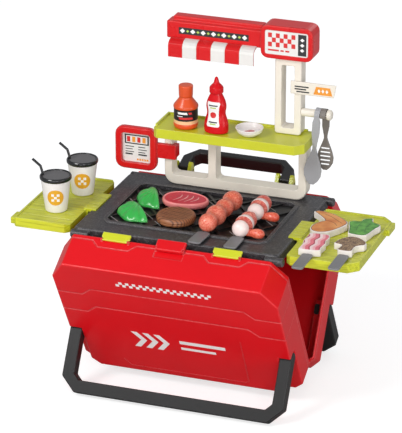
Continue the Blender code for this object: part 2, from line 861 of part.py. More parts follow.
def side_tray(name, side, frame):
    near = WORKTOP_HALF + TRAY_OUT
    far = near + tray_width(side)
    deck = TRAY_LIFT - TRAY_RIM_RISE
    low = TRAY_LIFT - TRAY_THICKNESS
    corner = TRAY_CORNER
    front_corner = corner / 4 if side < 0 else corner
    step = LEFT_STEP if side < 0 else RIGHT_STEP
    body = prism(
        clipped(
            near, far, TRAY_FRONT, TRAY_BACK, (corner / 2, front_corner, corner, corner / 3)
        ),
        low, TRAY_LIFT,
    )
    tab = block(
        far - STEP_REACH, far + STEP_REACH, TRAY_FRONT + step[0], TRAY_FRONT + step[1],
        low + TRAY_RIM, deck,
    )
    join(body, tab)
    soften(body, TRAY_RIM * 0.35)
    rim = TRAY_RIM
    dish = prism(
        clipped(
            near - OVERRUN, far - rim, TRAY_FRONT + rim, TRAY_BACK - rim,
            (0, front_corner, corner, 0),
        ),
        deck, OVERRUN,
    )
    cut(body, dish)
    pitch = (TRAY_BACK - TRAY_FRONT - 2 * rim) / PLANK_COUNT
    for count in range(1, PLANK_COUNT):
        line = TRAY_FRONT + rim + pitch * count
        cut(body, block(
            near + 3 * rim, far - 2 * rim, line - GROOVE_WIDTH / 2, line + GROOVE_WIDTH / 2,
            deck - GROOVE_DEPTH, OVERRUN,
        ))
    seat = WORKTOP_HALF - NOTCH_REACH + NOTCH_ROOM
    tongue_low = GAP - NOTCH_DEPTH
    tongue = block(
        seat, near + rim, TONGUE_CENTRE - TONGUE_WIDTH / 2, TONGUE_CENTRE + TONGUE_WIDTH / 2,
        tongue_low, tongue_low + TONGUE_THICKNESS,
    )
    rib_pitch = TONGUE_WIDTH / TONGUE_RIBS
    for count in range(1, TONGUE_RIBS):
        line = TONGUE_CENTRE - TONGUE_WIDTH / 2 + rib_pitch * count
        cut(tongue, block(
            seat + rim, near - rim, line - GROOVE_WIDTH / 2, line + GROOVE_WIDTH / 2,
            tongue_low + TONGUE_THICKNESS - GROOVE_DEPTH, OVERRUN,
        ))
    heel_near = WORKTOP_HALF + WORKTOP_FLARE + HEEL_ROOM
    heel = block(
        heel_near, near + rim, TONGUE_CENTRE - TONGUE_WIDTH / 2, TONGUE_CENTRE + TONGUE_WIDTH / 2,
        low, tongue_low + TONGUE_THICKNESS / 2,
    )
    join(body, join(tongue, heel))
    if side < 0:
        for vertex in body.data.vertices:
            vertex.co.x = -vertex.co.x
        body.data.flip_normals()
    return finish(body, name, LIME, frame)


# Kitchen stand: white frame, lime shelf and menu board.

FRAME_FOOT = 0.016
FRAME_POST = 0.013
FRAME_MIDDLE = -0.025
FRAME_CORNER = 0.018
WINDOW_CORNER = 0.007
SHELF_PLATE = 0.004
SHELF_WALL = 0.003
SHELF_RIM_RISE = 0.003
SHELF_CORNER = 0.013
FRAME_HEAD_INSET = 0.0035


def support_frame(frame):
    """One moulding with three posts, whose head fits up inside the shelf's fascia."""
    corner = FRAME_CORNER
    base = GAP
    shoulder = STAND_HEIGHT - GAP
    head = STAND_HEIGHT + SHELF_FASCIA - SHELF_PLATE - GAP
    inset = FRAME_HEAD_INSET
    corner_steps = 5
    outline = []
    for centre_x, quarter in ((STAND_LEFT + corner, 2), (STAND_RIGHT - corner, 3)):
        for step in range(corner_steps + 1):
            angle = math.pi / 2 * (quarter + step / corner_steps)
            outline.append((
                centre_x + corner * math.cos(angle), base + corner + corner * math.sin(angle)
            ))
    outline += [
        (STAND_RIGHT, head), (STAND_LEFT + inset, head), (STAND_LEFT + inset, shoulder),
        (STAND_LEFT, shoulder),
    ]
    body = prism(outline, STAND_FRONT, STAND_BACK, "Y")
    soften(body, FRAME_POST * 0.12)
    sill = base + FRAME_FOOT
    lintel = STAND_HEIGHT + SHELF_FASCIA / 4
    post = FRAME_POST
    windows = (
        (STAND_LEFT + post, FRAME_MIDDLE), (FRAME_MIDDLE + post, STAND_RIGHT - post),
    )
    for left, right in windows:
        hole = prism(
            rounded(left, right, sill, lintel, WINDOW_CORNER, 3),
            STAND_FRONT - OVERRUN, STAND_BACK + OVERRUN, "Y",
        )
        cut(body, hole)
    return finish(body, "support_frame", WHITE, frame)


def shelf(frame):
    back = STAND_BACK + SHELF_WALL + GAP
    low = STAND_HEIGHT + GAP
    top = STAND_HEIGHT + SHELF_FASCIA
    corner = SHELF_CORNER
    body = prism(
        clipped(SHELF_LEFT, SHELF_RIGHT, SHELF_FRONT, back, (corner / 2, corner, corner / 3, 0)),
        low, top,
    )
    rim = SHELF_WALL
    lip = block(SHELF_LEFT, SHELF_RIGHT - corner, back - rim, back, low, top + SHELF_RIM_RISE)
    side_lip = block(
        SHELF_LEFT, SHELF_LEFT + rim, SHELF_FRONT + corner, back, low, top + SHELF_RIM_RISE
    )
    join(body, lip, side_lip)
    soften(body, rim * 0.3)
    wall = SHELF_WALL
    under = prism(
        clipped(
            SHELF_LEFT + wall, SHELF_RIGHT - wall, SHELF_FRONT + wall, back - wall,
            (corner / 2, corner, corner / 3, 0),
        ),
        low - OVERRUN, top - SHELF_PLATE,
    )
    cut(body, under)
    return finish(body, "shelf", LIME, frame)


MENU_LEFT = -0.181
MENU_WIDTH = 0.071
MENU_LOW = 0.0213
MENU_HEIGHT = 0.0720
MENU_THICKNESS = 0.011
MENU_BORDER = 0.0105
MENU_CORNER = 0.014
MENU_FLOOR = 0.003
ARM_LOW = 0.0445
ARM_HEIGHT = 0.0250
ARM_THICKNESS = 0.007
ARM_RETURN = 0.0085
PANEL_THICKNESS = 0.0015


def menu_front():
    return STAND_FRONT - GAP - MENU_THICKNESS


def menu_frame(frame):
    """A rounded frame on an arm whose hooked end grips the stand's left post."""
    front = menu_front()
    back = STAND_FRONT - GAP
    right = MENU_LEFT + MENU_WIDTH
    body = prism(
        rounded(MENU_LEFT, right, MENU_LOW, MENU_LOW + MENU_HEIGHT, MENU_CORNER), front, back, "Y"
    )
    soften(body, MENU_THICKNESS * 0.18, 1, 60)
    window = prism(
        rounded(
            MENU_LEFT + MENU_BORDER, right - MENU_BORDER, MENU_LOW + MENU_BORDER,
            MENU_LOW + MENU_HEIGHT - MENU_BORDER, MENU_CORNER / 3, 3,
        ),
        front - OVERRUN, back - MENU_FLOOR, "Y",
    )
    cut(body, window)
    arm_end = STAND_LEFT + FRAME_POST + GAP + ARM_RETURN
    arm_low = ARM_LOW
    arm = block(
        right - MENU_BORDER / 2, arm_end, back - ARM_THICKNESS, back,
        arm_low, arm_low + ARM_HEIGHT,
    )
    jaw_left = STAND_LEFT + FRAME_POST + GAP
    jaw = block(
        jaw_left, arm_end - GAP, back - ARM_THICKNESS / 2, STAND_FRONT + STAND_DEPTH / 2,
        arm_low + ARM_HEIGHT * 0.1, arm_low + ARM_HEIGHT * 0.9,
    )
    join(body, soften(arm, ARM_THICKNESS * 0.12), jaw)
    return finish(body, "menu_frame", RED, frame)


def menu_panel(frame):
    floor = STAND_FRONT - GAP - MENU_FLOOR
    edge = MENU_BORDER + GAP
    right = MENU_LEFT + MENU_WIDTH
    body = prism(
        rounded(
            MENU_LEFT + edge, right - edge, MENU_LOW + edge, MENU_LOW + MENU_HEIGHT - edge,
            MENU_CORNER / 3, 3,
        ),
        floor - GAP - PANEL_THICKNESS, floor - GAP, "Y",
    )
    return finish(body, "menu_panel", WHITE, frame)


# Sign: post on the shelf, box, stepped beam and striped awning.

POST_SIDE = 0.011
POST_CORNER = 0.005
BOX_LEFT = 0.064
BOX_WIDTH = 0.086
BOX_FRONT = 0.088
BOX_BACK = 0.126
BOX_CORNER = 0.012
BOX_BORDER = 0.0075
BOX_POCKET = 0.0020
BEAM_LEFT = -0.0950
BEAM_LOW = 0.0125
BEAM_HEIGHT = 0.0285
BEAM_STEP = 0.0075
BEAM_SETBACK = 0.006
BEAM_END_SETBACK = 0.009
AWNING_LEFT = -0.0870
AWNING_WIDTH = 0.1425
AWNING_REACH = 0.016
AWNING_DROP = 0.010
AWNING_VALANCE = 0.0160
AWNING_SHEET = 0.003
AWNING_POCKET = 0.0012
AWNING_STRIPES = 6


def shelf_frame():
    return empty("shelf_frame", (CASE_MIDDLE, 0, SHELF_TOP), (0, 0, 0))


def sign_post(frame):
    right = POST_LEFT + POST_WIDTH
    body = prism(
        rounded(POST_LEFT, right, GAP, POST_HEIGHT, POST_CORNER, 3), STAND_FRONT, STAND_BACK, "Y"
    )
    soften(body, POST_SIDE * 0.12, 1, 60)
    side = POST_SIDE
    slot = prism(
        rounded(POST_LEFT + side, right - side, side, POST_HEIGHT - side, POST_CORNER / 2, 2),
        STAND_FRONT - OVERRUN, STAND_BACK + OVERRUN, "Y",
    )
    cut(body, slot)
    return finish(body, "sign_post", WHITE, frame)


def sign_box(frame):
    low = POST_HEIGHT + GAP
    right = BOX_LEFT + BOX_WIDTH
    body = prism(
        rounded(BOX_LEFT, right, low, low + SIGN_HEIGHT, BOX_CORNER, 4), BOX_FRONT, BOX_BACK, "Y"
    )
    soften(body, BOX_BORDER * 0.28, 2, 60)
    pocket = prism(
        rounded(
            BOX_LEFT + BOX_BORDER, right - BOX_BORDER, low + BOX_BORDER,
            low + SIGN_HEIGHT - BOX_BORDER, BOX_CORNER / 4, 2,
        ),
        BOX_FRONT - OVERRUN, BOX_FRONT + BOX_POCKET, "Y",
    )
    cut(body, pocket)
    return finish(body, "sign_box", RED, frame)


def sign_box_panel(frame):
    low = POST_HEIGHT + GAP
    edge = BOX_BORDER + GAP
    right = BOX_LEFT + BOX_WIDTH
    back = BOX_FRONT + BOX_POCKET - GAP
    body = prism(
        rounded(
            BOX_LEFT + edge, right - edge, low + edge, low + SIGN_HEIGHT - edge, BOX_CORNER / 4, 2
        ),
        back - PANEL_THICKNESS, back, "Y",
    )
    return finish(body, "sign_box_panel", WHITE, frame)


def sign_beam(frame):
    """A beam with a set-back upper step, ending against the sign box."""
    low = POST_HEIGHT + BEAM_LOW
    right = BOX_LEFT - GAP
    body = block(BEAM_LEFT, right, STAND_FRONT, STAND_BACK, low, low + BEAM_HEIGHT)
    top = low + BEAM_HEIGHT
    step = block(
        BEAM_LEFT + BEAM_END_SETBACK, right, STAND_FRONT + BEAM_SETBACK, STAND_BACK,
        top - BEAM_STEP / 2, top + BEAM_STEP,
    )
    soften(join(body, step), BEAM_SETBACK * 0.25)
    return finish(body, "sign_beam", RED, frame)


def awning_profile(thickness, offset):
    """The section of a bent sheet: a sloping top, then an upright valance."""
    steps = 4
    start_z = POST_HEIGHT + BEAM_LOW + GAP
    start_y = STAND_FRONT - GAP
    outer = []
    inner = []
    for step in range(steps + 1):
        angle = math.pi / 2 * step / steps
        for line, depth in ((outer, offset), (inner, offset + thickness)):
            line.append((
                start_y - (AWNING_REACH - depth) * math.sin(angle),
                start_z + AWNING_DROP * 0.2
                - (AWNING_DROP - depth) * (1 - math.cos(angle)) - depth,
            ))
    foot = start_z - AWNING_DROP - AWNING_VALANCE
    outer.append((outer[-1][0], foot))
    inner.append((inner[-1][0], foot))
    return outer + inner[::-1]


def stripe_edges(count):
    pitch = AWNING_WIDTH / AWNING_STRIPES
    return AWNING_LEFT + pitch * count, AWNING_LEFT + pitch * (count + 1)


def awning(frame):
    """One red sheet with a shallow pocket for each white stripe."""
    body = prism(awning_profile(AWNING_SHEET, 0), AWNING_LEFT, AWNING_LEFT + AWNING_WIDTH, "X")
    for count in range(1, AWNING_STRIPES, 2):
        left, right = stripe_edges(count)
        last = count == AWNING_STRIPES - 1
        pocket = prism(
            awning_profile(AWNING_POCKET + OVERRUN, -OVERRUN), left,
            right + OVERRUN if last else right, "X",
        )
        cut(body, pocket)
    return finish(body, "awning", RED, frame)


def awning_whites(frame):
    for count in range(1, AWNING_STRIPES, 2):
        left, right = stripe_edges(count)
        last = count == AWNING_STRIPES - 1
        body = prism(
            awning_profile(AWNING_POCKET - GAP, 0), left + GAP, right if last else right - GAP, "X"
        )
        finish(body, f"awning_white_{(count + 1) // 2}", WHITE, frame)


# Side sign, hook bar and the two utensils that hang on it.

SIDE_SIGN_LEFT = 0.113
SIDE_SIGN_WIDTH = 0.075
SIDE_SIGN_LOW = 0.071
SIDE_SIGN_HEIGHT = 0.021
SIDE_SIGN_THICKNESS = 0.003
SIDE_SIGN_SLANT = 0.004
JAW_THICKNESS = 0.0025
HOOK_REACH = 0.0417
HOOK_CAP = 0.008
HOOK_CAP_RADIUS = 0.0085
HOOK_UP = 0.039
HOOK_FORWARD = 0.006
HOOK_ROOM = 0.0008
UTENSIL_SHEET = 0.003
SPATULA_PLACE = 0.1571
SPATULA_HOOK_WIDTH = 0.0084
SPATULA_HANDLE = 0.0122
SPATULA_NECK = 0.0065
SPATULA_BLADE = 0.0290
SPATULA_BLADE_LENGTH = 0.063
SPATULA_HANDLE_LENGTH = 0.056
SPATULA_TILT = math.radians(3.4)
TURNER_PLACE = 0.1667
TURNER_HOOK_WIDTH = 0.0086
TURNER_HANDLE = 0.0115
TURNER_NECK = 0.0055
TURNER_BLADE = 0.0270
TURNER_BLADE_LENGTH = 0.056
TURNER_HANDLE_LENGTH = 0.042
TURNER_SLOTS = 5


def side_sign(frame):
    """A plate clipped on the sign post's right bar by two jaws."""
    back = STAND_FRONT - GAP
    front = back - SIDE_SIGN_THICKNESS
    right = SIDE_SIGN_LEFT + SIDE_SIGN_WIDTH
    high = SIDE_SIGN_LOW + SIDE_SIGN_HEIGHT
    outline = [
        (SIDE_SIGN_LEFT, SIDE_SIGN_LOW), (right - SIDE_SIGN_SLANT, SIDE_SIGN_LOW),
        (right, high), (SIDE_SIGN_LEFT, high),
    ]
    body = soften(prism(outline, front, back, "Y"), SIDE_SIGN_THICKNESS * 0.2)
    post_right = POST_LEFT + POST_WIDTH
    quarter = SIDE_SIGN_HEIGHT / 4
    for jaw_left in (post_right + GAP, post_right - POST_SIDE - GAP - JAW_THICKNESS):
        jaw = block(
            jaw_left, jaw_left + JAW_THICKNESS, back - SIDE_SIGN_THICKNESS / 2,
            STAND_FRONT + STAND_DEPTH / 3, SIDE_SIGN_LOW + quarter, high - quarter,
        )
        join(body, jaw)
    return finish(body, "side_sign", WHITE, frame)


def hook_axis():
    return STAND_FRONT + HOOK_FORWARD, HOOK_UP


def hook_bar(frame):
    """A round bar out of the sign post's side, with a thicker round cap."""
    start = POST_LEFT + POST_WIDTH + GAP
    end = start + HOOK_REACH
    y, z = hook_axis()
    radius = HOOK_RADIUS
    body = lathe(
        [
            (0, start), (radius, start), (radius, end),
            (HOOK_CAP_RADIUS * 0.9, end), (HOOK_CAP_RADIUS, end + HOOK_CAP * 0.2),
            (HOOK_CAP_RADIUS, end + HOOK_CAP * 0.7), (HOOK_CAP_RADIUS * 0.7, end + HOOK_CAP),
            (0, end + HOOK_CAP),
        ],
        24, "X",
    )
    smooth(shift(body, y=y, z=z))
    return finish(body, "hook_bar", WHITE, frame)


def paddle(widths, lengths, steps=8):
    """The outline of a handle, a neck and a pear-shaped blade, hanging from the bar."""
    hook, handle, neck, blade = (width / 2 for width in widths)
    handle_length, blade_length = lengths
    right = [
        (hook, 0), (hook, -handle_length * 0.10), (handle, -handle_length * 0.22),
        (handle, -handle_length * 0.54), (neck, -handle_length * 0.90),
        (neck * 0.9, -handle_length),
    ]
    for step in range(1, steps + 1):
        share = (1 - math.cos(math.pi * step / (steps + 1))) / 2
        widen = math.sin(math.pi * share ** 1.5) ** 0.75
        slim = neck * 0.9 * (1 - share)
        right.append((slim + (blade - slim) * widen, -handle_length - blade_length * share))
    left = [(-u, v) for u, v in reversed(right)]
    return right + left


def hook_section(side):
    """The section of a sheet bent over the bar. Side -1 hangs in front, 1 behind."""
    inner = HOOK_RADIUS + HOOK_ROOM
    outer = inner + UTENSIL_SHEET
    steps = 8
    points = [(side * outer, 0)]
    for step in range(steps + 1):
        angle = math.radians(200) * step / steps
        points.append((side * outer * math.cos(angle), outer * math.sin(angle)))
    for step in range(steps, -1, -1):
        angle = math.radians(200) * step / steps
        points.append((side * inner * math.cos(angle), inner * math.sin(angle)))
    return points[1:]


def utensil(name, side, place, widths, lengths, tilt, colour, frame, slots):
    inner = HOOK_RADIUS + HOOK_ROOM
    outer = inner + UTENSIL_SHEET
    sheet = sorted((side * inner, side * outer))
    blade = prism(paddle(widths, lengths), *sheet, "Y")
    handle_length, blade_length = lengths
    for slot in range(slots):
        middle = handle_length + blade_length * (0.32 + 0.12 * slot)
        slot_half = widths[3] * (0.20 + 0.12 * math.sin(math.pi * (slot + 1) / (slots + 1)))
        slot_height = blade_length * 0.030
        cut(blade, block(
            -slot_half, slot_half, sheet[0] - OVERRUN, sheet[1] + OVERRUN,
            -middle - slot_height, -middle + slot_height,
        ))
    hook = prism(hook_section(side), -widths[0] / 2, widths[0] / 2, "X")
    overlap = UTENSIL_SHEET / 4
    shift(blade, z=overlap)
    join(hook, blade)
    finish(hook, name, colour, frame)
    y, z = hook_axis()
    sag = HOOK_ROOM - GAP - widths[0] / 2 * math.sin(tilt)
    hook.location = (place, y, z - sag)
    hook.rotation_euler = (0, tilt, 0)
    return hook


def utensils(frame):
    utensil(
        "spatula", -1, SPATULA_PLACE,
        (SPATULA_HOOK_WIDTH, SPATULA_HANDLE, SPATULA_NECK, SPATULA_BLADE),
        (SPATULA_HANDLE_LENGTH, SPATULA_BLADE_LENGTH), SPATULA_TILT, GREY, frame, 0,
    )
    utensil(
        "slotted_turner", 1, TURNER_PLACE,
        (TURNER_HOOK_WIDTH, TURNER_HANDLE, TURNER_NECK, TURNER_BLADE),
        (TURNER_HANDLE_LENGTH, TURNER_BLADE_LENGTH), 0, BROWN_GREY, frame, TURNER_SLOTS,
    )


# Cups on the left tray.

CUP_FOOT_RADIUS = 0.0175
CUP_TOP_RADIUS = 0.0238
CUP_HEIGHT = 0.0520
LID_RADIUS = 0.0255
LID_HEIGHT = 0.0072
LID_DISH = 0.0016
STRAW_RADIUS = 0.0022
STRAW_RISE = 0.0165
STRAW_BEND = 0.0170
STRAW_TURN = math.radians(198)
CUP_PLACE_SHARES = {"cup_front": (0.468, 0.2815), "cup_rear": (0.330, 0.6815)}


def tray_point(side, out_share, back_share):
    """A place on a side tray's deck, in shares of its width and depth."""
    x = side * (WORKTOP_HALF + TRAY_OUT + tray_width(side) * out_share)
    y = TRAY_FRONT + (TRAY_BACK - TRAY_FRONT) * back_share
    return x, y, GAP + TRAY_LIFT - TRAY_RIM_RISE


def cup(name, frame):
    """A cup with its lid pressed on and a bent straw standing in the lid."""
    place = tray_point(-1, *CUP_PLACE_SHARES[name])
    body = lathe([
        (0, 0), (CUP_FOOT_RADIUS * 0.95, 0), (CUP_FOOT_RADIUS, CUP_HEIGHT * 0.03),
        (CUP_TOP_RADIUS, CUP_HEIGHT), (0, CUP_HEIGHT),
    ])
    finish(smooth(body), name, WHITE, frame)
    body.location = place
    low = CUP_HEIGHT + GAP
    high = low + LID_HEIGHT
    aside = LID_RADIUS * 0.80
    lid = lathe([
        (0, low), (LID_RADIUS * 0.95, low), (LID_RADIUS, low + LID_HEIGHT * 0.25),
        (LID_RADIUS, low + LID_HEIGHT * 0.72), (LID_RADIUS * 0.95, high),
        (LID_RADIUS * 0.87, high), (LID_RADIUS * 0.85, high - LID_DISH), (0, high - LID_DISH),
    ])
    x, y = aside * math.cos(STRAW_TURN), aside * math.sin(STRAW_TURN)
    hole = lathe([
        (0, 0), (STRAW_RADIUS + GAP, 0), (STRAW_RADIUS + GAP, high + OVERRUN), (0, high + OVERRUN)
    ], 10)
    cut(lid, shift(hole, x=x, y=y))
    finish(smooth(lid), name + "_lid", BLACK, frame)
    lid.location = place
    route = [
        (x, y, low), (x, y, high + STRAW_RISE * 0.06),
        (x - STRAW_BEND * 0.20, y, high + STRAW_RISE * 0.76),
        (x - STRAW_BEND * 0.34, y, high + STRAW_RISE * 0.93),
        (x - STRAW_BEND, y, high + STRAW_RISE * 1.45),
    ]
    straw = tube(route, STRAW_RADIUS)
    finish(straw, name + "_straw", BLACK, frame)
    straw.location = place


def tube(route, radius):
    """A round bar along a route, with flat ends."""
    curve = bpy.data.curves.new("route", "CURVE")
    curve.dimensions = "3D"
    curve.bevel_depth = radius
    curve.bevel_resolution = 2
    curve.use_fill_caps = True
    line = curve.splines.new("POLY")
    line.points.add(len(route) - 1)
    for point, place in zip(line.points, route):
        point.co = (*place, 1)
    item = bpy.data.objects.new("tube", curve)
    bpy.context.collection.objects.link(item)
    bpy.context.view_layer.update()
    mesh = bpy.data.meshes.new_from_object(item)
    shape = bmesh.new()
    shape.from_mesh(mesh)
    bmesh.ops.remove_doubles(shape, verts=shape.verts, dist=radius / 100)
    bpy.data.objects.remove(item, do_unlink=True)
    return smooth(solid(shape))


# Bottles and dish on the shelf.

SAUCE_RADIUS = 0.0200
SAUCE_BODY = 0.043
SAUCE_NECK_RADIUS = 0.0108
SAUCE_CAP_RADIUS = 0.0112
SAUCE_CAP_HEIGHT = 0.0185
SQUEEZE_RADIUS = 0.0200
SQUEEZE_DEPTH_SHARE = 0.72
SQUEEZE_BODY = 0.066
SQUEEZE_NECK_RADIUS = 0.0095
NOZZLE_RADIUS = 0.0112
NOZZLE_HEIGHT = 0.0265
DISH_RADIUS = 0.0225
DISH_HEIGHT = 0.013
DISH_WALL = 0.0016
SAUCE_PLACE_SHARES = (0.190, 0.360)
SQUEEZE_PLACE_SHARES = (0.405, 0.270)
DISH_PLACE_SHARES = (0.620, 0.340)


def shelf_point(across_shares):
    x = SHELF_LEFT + (SHELF_RIGHT - SHELF_LEFT) * across_shares[0]
    y = SHELF_FRONT + (STAND_BACK - SHELF_FRONT) * across_shares[1]
    return x, y, GAP


def sauce_bottle(frame):
    radius = SAUCE_RADIUS
    height = SAUCE_BODY
    body = lathe([
        (0, 0), (radius * 0.88, 0), (radius * 0.97, height * 0.06), (radius, height * 0.17),
        (radius * 0.96, height * 0.20), (radius * 0.96, height * 0.76), (radius, height * 0.79),
        (radius, height * 0.86), (SAUCE_NECK_RADIUS, height * 1.14),
        (SAUCE_NECK_RADIUS, height * 1.20), (0, height * 1.20),
    ])
    finish(smooth(body), "sauce_bottle", ORANGE, frame)
    body.location = shelf_point(SAUCE_PLACE_SHARES)
    low = height * 1.20 + GAP
    cap_height = SAUCE_CAP_HEIGHT
    cap = lathe([
        (0, low), (SAUCE_CAP_RADIUS, low), (SAUCE_CAP_RADIUS * 1.04, low + cap_height * 0.94),
        (SAUCE_CAP_RADIUS * 0.95, low + cap_height), (0, low + cap_height),
    ])
    finish(smooth(cap), "sauce_bottle_cap", ORANGE, frame)
    cap.location = body.location


def squeeze_bottle(frame):
    radius = SQUEEZE_RADIUS
    height = SQUEEZE_BODY
    body = lathe([
        (0, 0), (radius * 0.94, 0), (radius, height * 0.04), (radius, height * 0.22),
        (radius * 0.90, height * 0.34), (radius * 0.76, height * 0.46),
        (radius * 0.76, height * 0.54), (radius * 0.83, height * 0.64),
        (radius * 0.81, height * 0.74), (radius * 0.68, height * 0.86),
        (SQUEEZE_NECK_RADIUS, height * 0.98), (SQUEEZE_NECK_RADIUS, height), (0, height),
    ])
    for vertex in body.data.vertices:
        vertex.co.y = vertex.co.y * SQUEEZE_DEPTH_SHARE
    finish(smooth(body), "squeeze_bottle", RED, frame)
    body.location = shelf_point(SQUEEZE_PLACE_SHARES)
    low = height + GAP
    rise = NOZZLE_HEIGHT
    nozzle = lathe([
        (0, low), (NOZZLE_RADIUS, low), (NOZZLE_RADIUS, low + rise * 0.34),
        (NOZZLE_RADIUS * 0.80, low + rise * 0.44), (NOZZLE_RADIUS * 0.42, low + rise * 0.60),
        (NOZZLE_RADIUS * 0.20, low + rise * 0.95), (0, low + rise),
    ])
    finish(smooth(nozzle), "squeeze_nozzle", RED, frame)
    nozzle.location = body.location


def dish(frame):
    radius = DISH_RADIUS
    wall = DISH_WALL
    height = DISH_HEIGHT
    body = lathe([
        (0, 0), (radius * 0.55, 0), (radius * 0.60, height * 0.06), (radius * 0.88, height * 0.45),
        (radius, height), (radius - wall, height), (radius * 0.88 - wall, height * 0.5),
        (radius * 0.58, height * 0.24), (0, height * 0.18),
    ])
    finish(smooth(body), "dish", WHITE, frame)
    body.location = shelf_point(DISH_PLACE_SHARES)
    low = height * 0.24 + GAP
    sauce = lathe([
        (0, low), (radius * 0.40, low), (radius * 0.52, low + height * 0.07),
        (radius * 0.30, low + height * 0.16), (0, low + height * 0.22),
    ])
    finish(smooth(sauce), "dish_sauce", MEAT, frame)
    sauce.location = body.location


# Food on the grill.

PATTY_RADIUS = 0.0315
PATTY_THICKNESS = 0.013
STEAK_RADIUS = 0.0385
STEAK_DEPTH_SHARE = 0.72
STEAK_THICKNESS = 0.010
PEPPER_RADIUS = 0.0380
PEPPER_HEIGHT = 0.017
STICK_RADIUS = 0.0016
STICK_LENGTH = 0.140
PADDLE_WIDTH = 0.021
PADDLE_LENGTH = 0.0460
PADDLE_THICKNESS = 0.003
LUMP_RADIUS = 0.0160
LUMP_PITCH = 0.0325
SMALL_LUMP_SHARE = 0.89
WAIST_SHARE = 0.70
SLEEVE_SHARE = 0.45
PRAWN_RADIUS = 0.0150
PRAWN_LENGTH = 0.054
PRAWN_PITCH = 0.072
TAIL_RADIUS = 0.0078
TAIL_LENGTH = 0.029
PATTY_PLACE_SHARES = (0.400, 0.225)
STEAK_PLACE_SHARES = (0.359, 0.670)
PEPPER_PLACE_SHARES = {"pepper_half_1": (0.177, 0.665), "pepper_half_2": (0.151, 0.283)}
PEPPER_TURN = {"pepper_half_1": math.radians(117), "pepper_half_2": math.radians(132)}
SKEWER_1_SHARE = 0.634
SKEWER_2_SHARE = 0.845
SKEWER_1_TURN = math.radians(-3.8)


def grill_point(across_share, back_share):
    x = GRILL_LEFT + (GRILL_RIGHT - GRILL_LEFT) * across_share
    y = GRILL_FRONT + (GRILL_BACK - GRILL_FRONT) * back_share
    return x, y, GRILL_TOP + GAP


def patty(frame):
    radius = PATTY_RADIUS
    thick = PATTY_THICKNESS
    body = lathe([
        (0, 0), (radius * 0.90, 0), (radius * 0.98, thick * 0.25), (radius, thick * 0.5),
        (radius * 0.97, thick * 0.8), (radius * 0.90, thick), (0, thick * 0.94),
    ])
    finish(smooth(body), "patty", BROWN, frame)
    body.location = grill_point(*PATTY_PLACE_SHARES)


def steak(frame):
    """An oval slice with a raised rim round its face."""
    radius = STEAK_RADIUS
    thick = STEAK_THICKNESS
    body = lathe([
        (0, 0), (radius * 0.94, 0), (radius, thick * 0.35), (radius, thick * 0.75),
        (radius * 0.93, thick), (radius * 0.84, thick * 0.95), (radius * 0.80, thick * 0.80),
        (0, thick * 0.88),
    ], 24)
    for vertex in body.data.vertices:
        taper = 1 - 0.16 * vertex.co.x / radius
        vertex.co.y = vertex.co.y * STEAK_DEPTH_SHARE * taper
    finish(smooth(body), "steak", MEAT, frame)
    body.location = grill_point(*STEAK_PLACE_SHARES)


def pepper_half(name, frame):
    """Half a pepper lying on its cut face: a domed half-moon with a curved inner side."""
    radius = PEPPER_RADIUS
    rings = 5
    steps = 12
    shape = bmesh.new()
    loops = []
    for ring in range(rings):
        rise = math.sin(math.pi / 2 * ring / rings)
        shrink = math.cos(math.pi / 2 * ring / rings)
        loop = []
        for step in range(steps + 1):
            angle = math.pi * step / steps
            lobe = 1 + 0.04 * math.cos(6 * angle)
            loop.append(shape.verts.new((
                radius * shrink * lobe * math.cos(angle),
                radius * (0.04 + 0.84 * shrink * lobe * math.sin(angle)),
                PEPPER_HEIGHT * rise,
            )))
        for step in range(1, steps // 2):
            share = step / (steps // 2)
            sag = 0.08 * math.sin(math.pi * share) * shrink
            loop.append(shape.verts.new((
                radius * shrink * (2 * share - 1), radius * (0.04 - sag), PEPPER_HEIGHT * rise
            )))
        loops.append(loop)
    for lower, upper in zip(loops, loops[1:]):
        for i in range(len(lower)):
            after = (i + 1) % len(lower)
            shape.faces.new((lower[i], lower[after], upper[after], upper[i]))
    shape.faces.new(loops[0])
    crown = shape.verts.new((0, radius * 0.20, PEPPER_HEIGHT))
    for i in range(len(loops[-1])):
        shape.faces.new((loops[-1][i], loops[-1][(i + 1) % len(loops[-1])], crown))
    body = solid(shape)
    finish(smooth(body, 60), name, GREEN, frame)
    body.location = grill_point(*PEPPER_PLACE_SHARES[name])
    body.rotation_euler = (0, 0, PEPPER_TURN[name])


def stick(name, frame):
    """A skewer: a round rod with a flat rounded grip. The rod runs along +Y."""
    width = PADDLE_WIDTH
    grip = prism(
        rounded(-width / 2, width / 2, -PADDLE_LENGTH, -PADDLE_THICKNESS / 2, width * 0.25, 3),
        -PADDLE_THICKNESS / 2, PADDLE_THICKNESS / 2,
    )
    soften(grip, PADDLE_THICKNESS * 0.15, 1, 60)
    rod = lathe([
        (0, -PADDLE_LENGTH / 3), (STICK_RADIUS, -PADDLE_LENGTH / 3),
        (STICK_RADIUS, STICK_LENGTH), (0, STICK_LENGTH + STICK_RADIUS * 2),
    ], 10, "Y")
    join(grip, rod)
    return finish(grip, name, GREY, frame)


def lumps(centres, radii, waist):
    """A turned row of rounded lumps on +Y, joined by waists of at least that radius."""
    profile = [(0, centres[0] - radii[0])]
    steps = 7
    for centre, radius in zip(centres, radii):
        for step in range(1, steps):
            angle = math.pi * (1 - step / steps)
            place = centre + radius * math.cos(angle)
            size = max(radius * math.sin(angle) ** 0.8, waist if len(profile) > 1 else 0)
            if place > profile[-1][1] + radius * 0.05:
                profile.append((size, place))
    profile.append((0, centres[-1] + radii[-1]))
    return lathe(profile, 12, "Y")


def stick_rise():
    """The rod's height over the grill when its grip lies on the pan's raised rim."""
    return PAN_RIM_RISE - GRILL_TOP + PADDLE_THICKNESS / 2


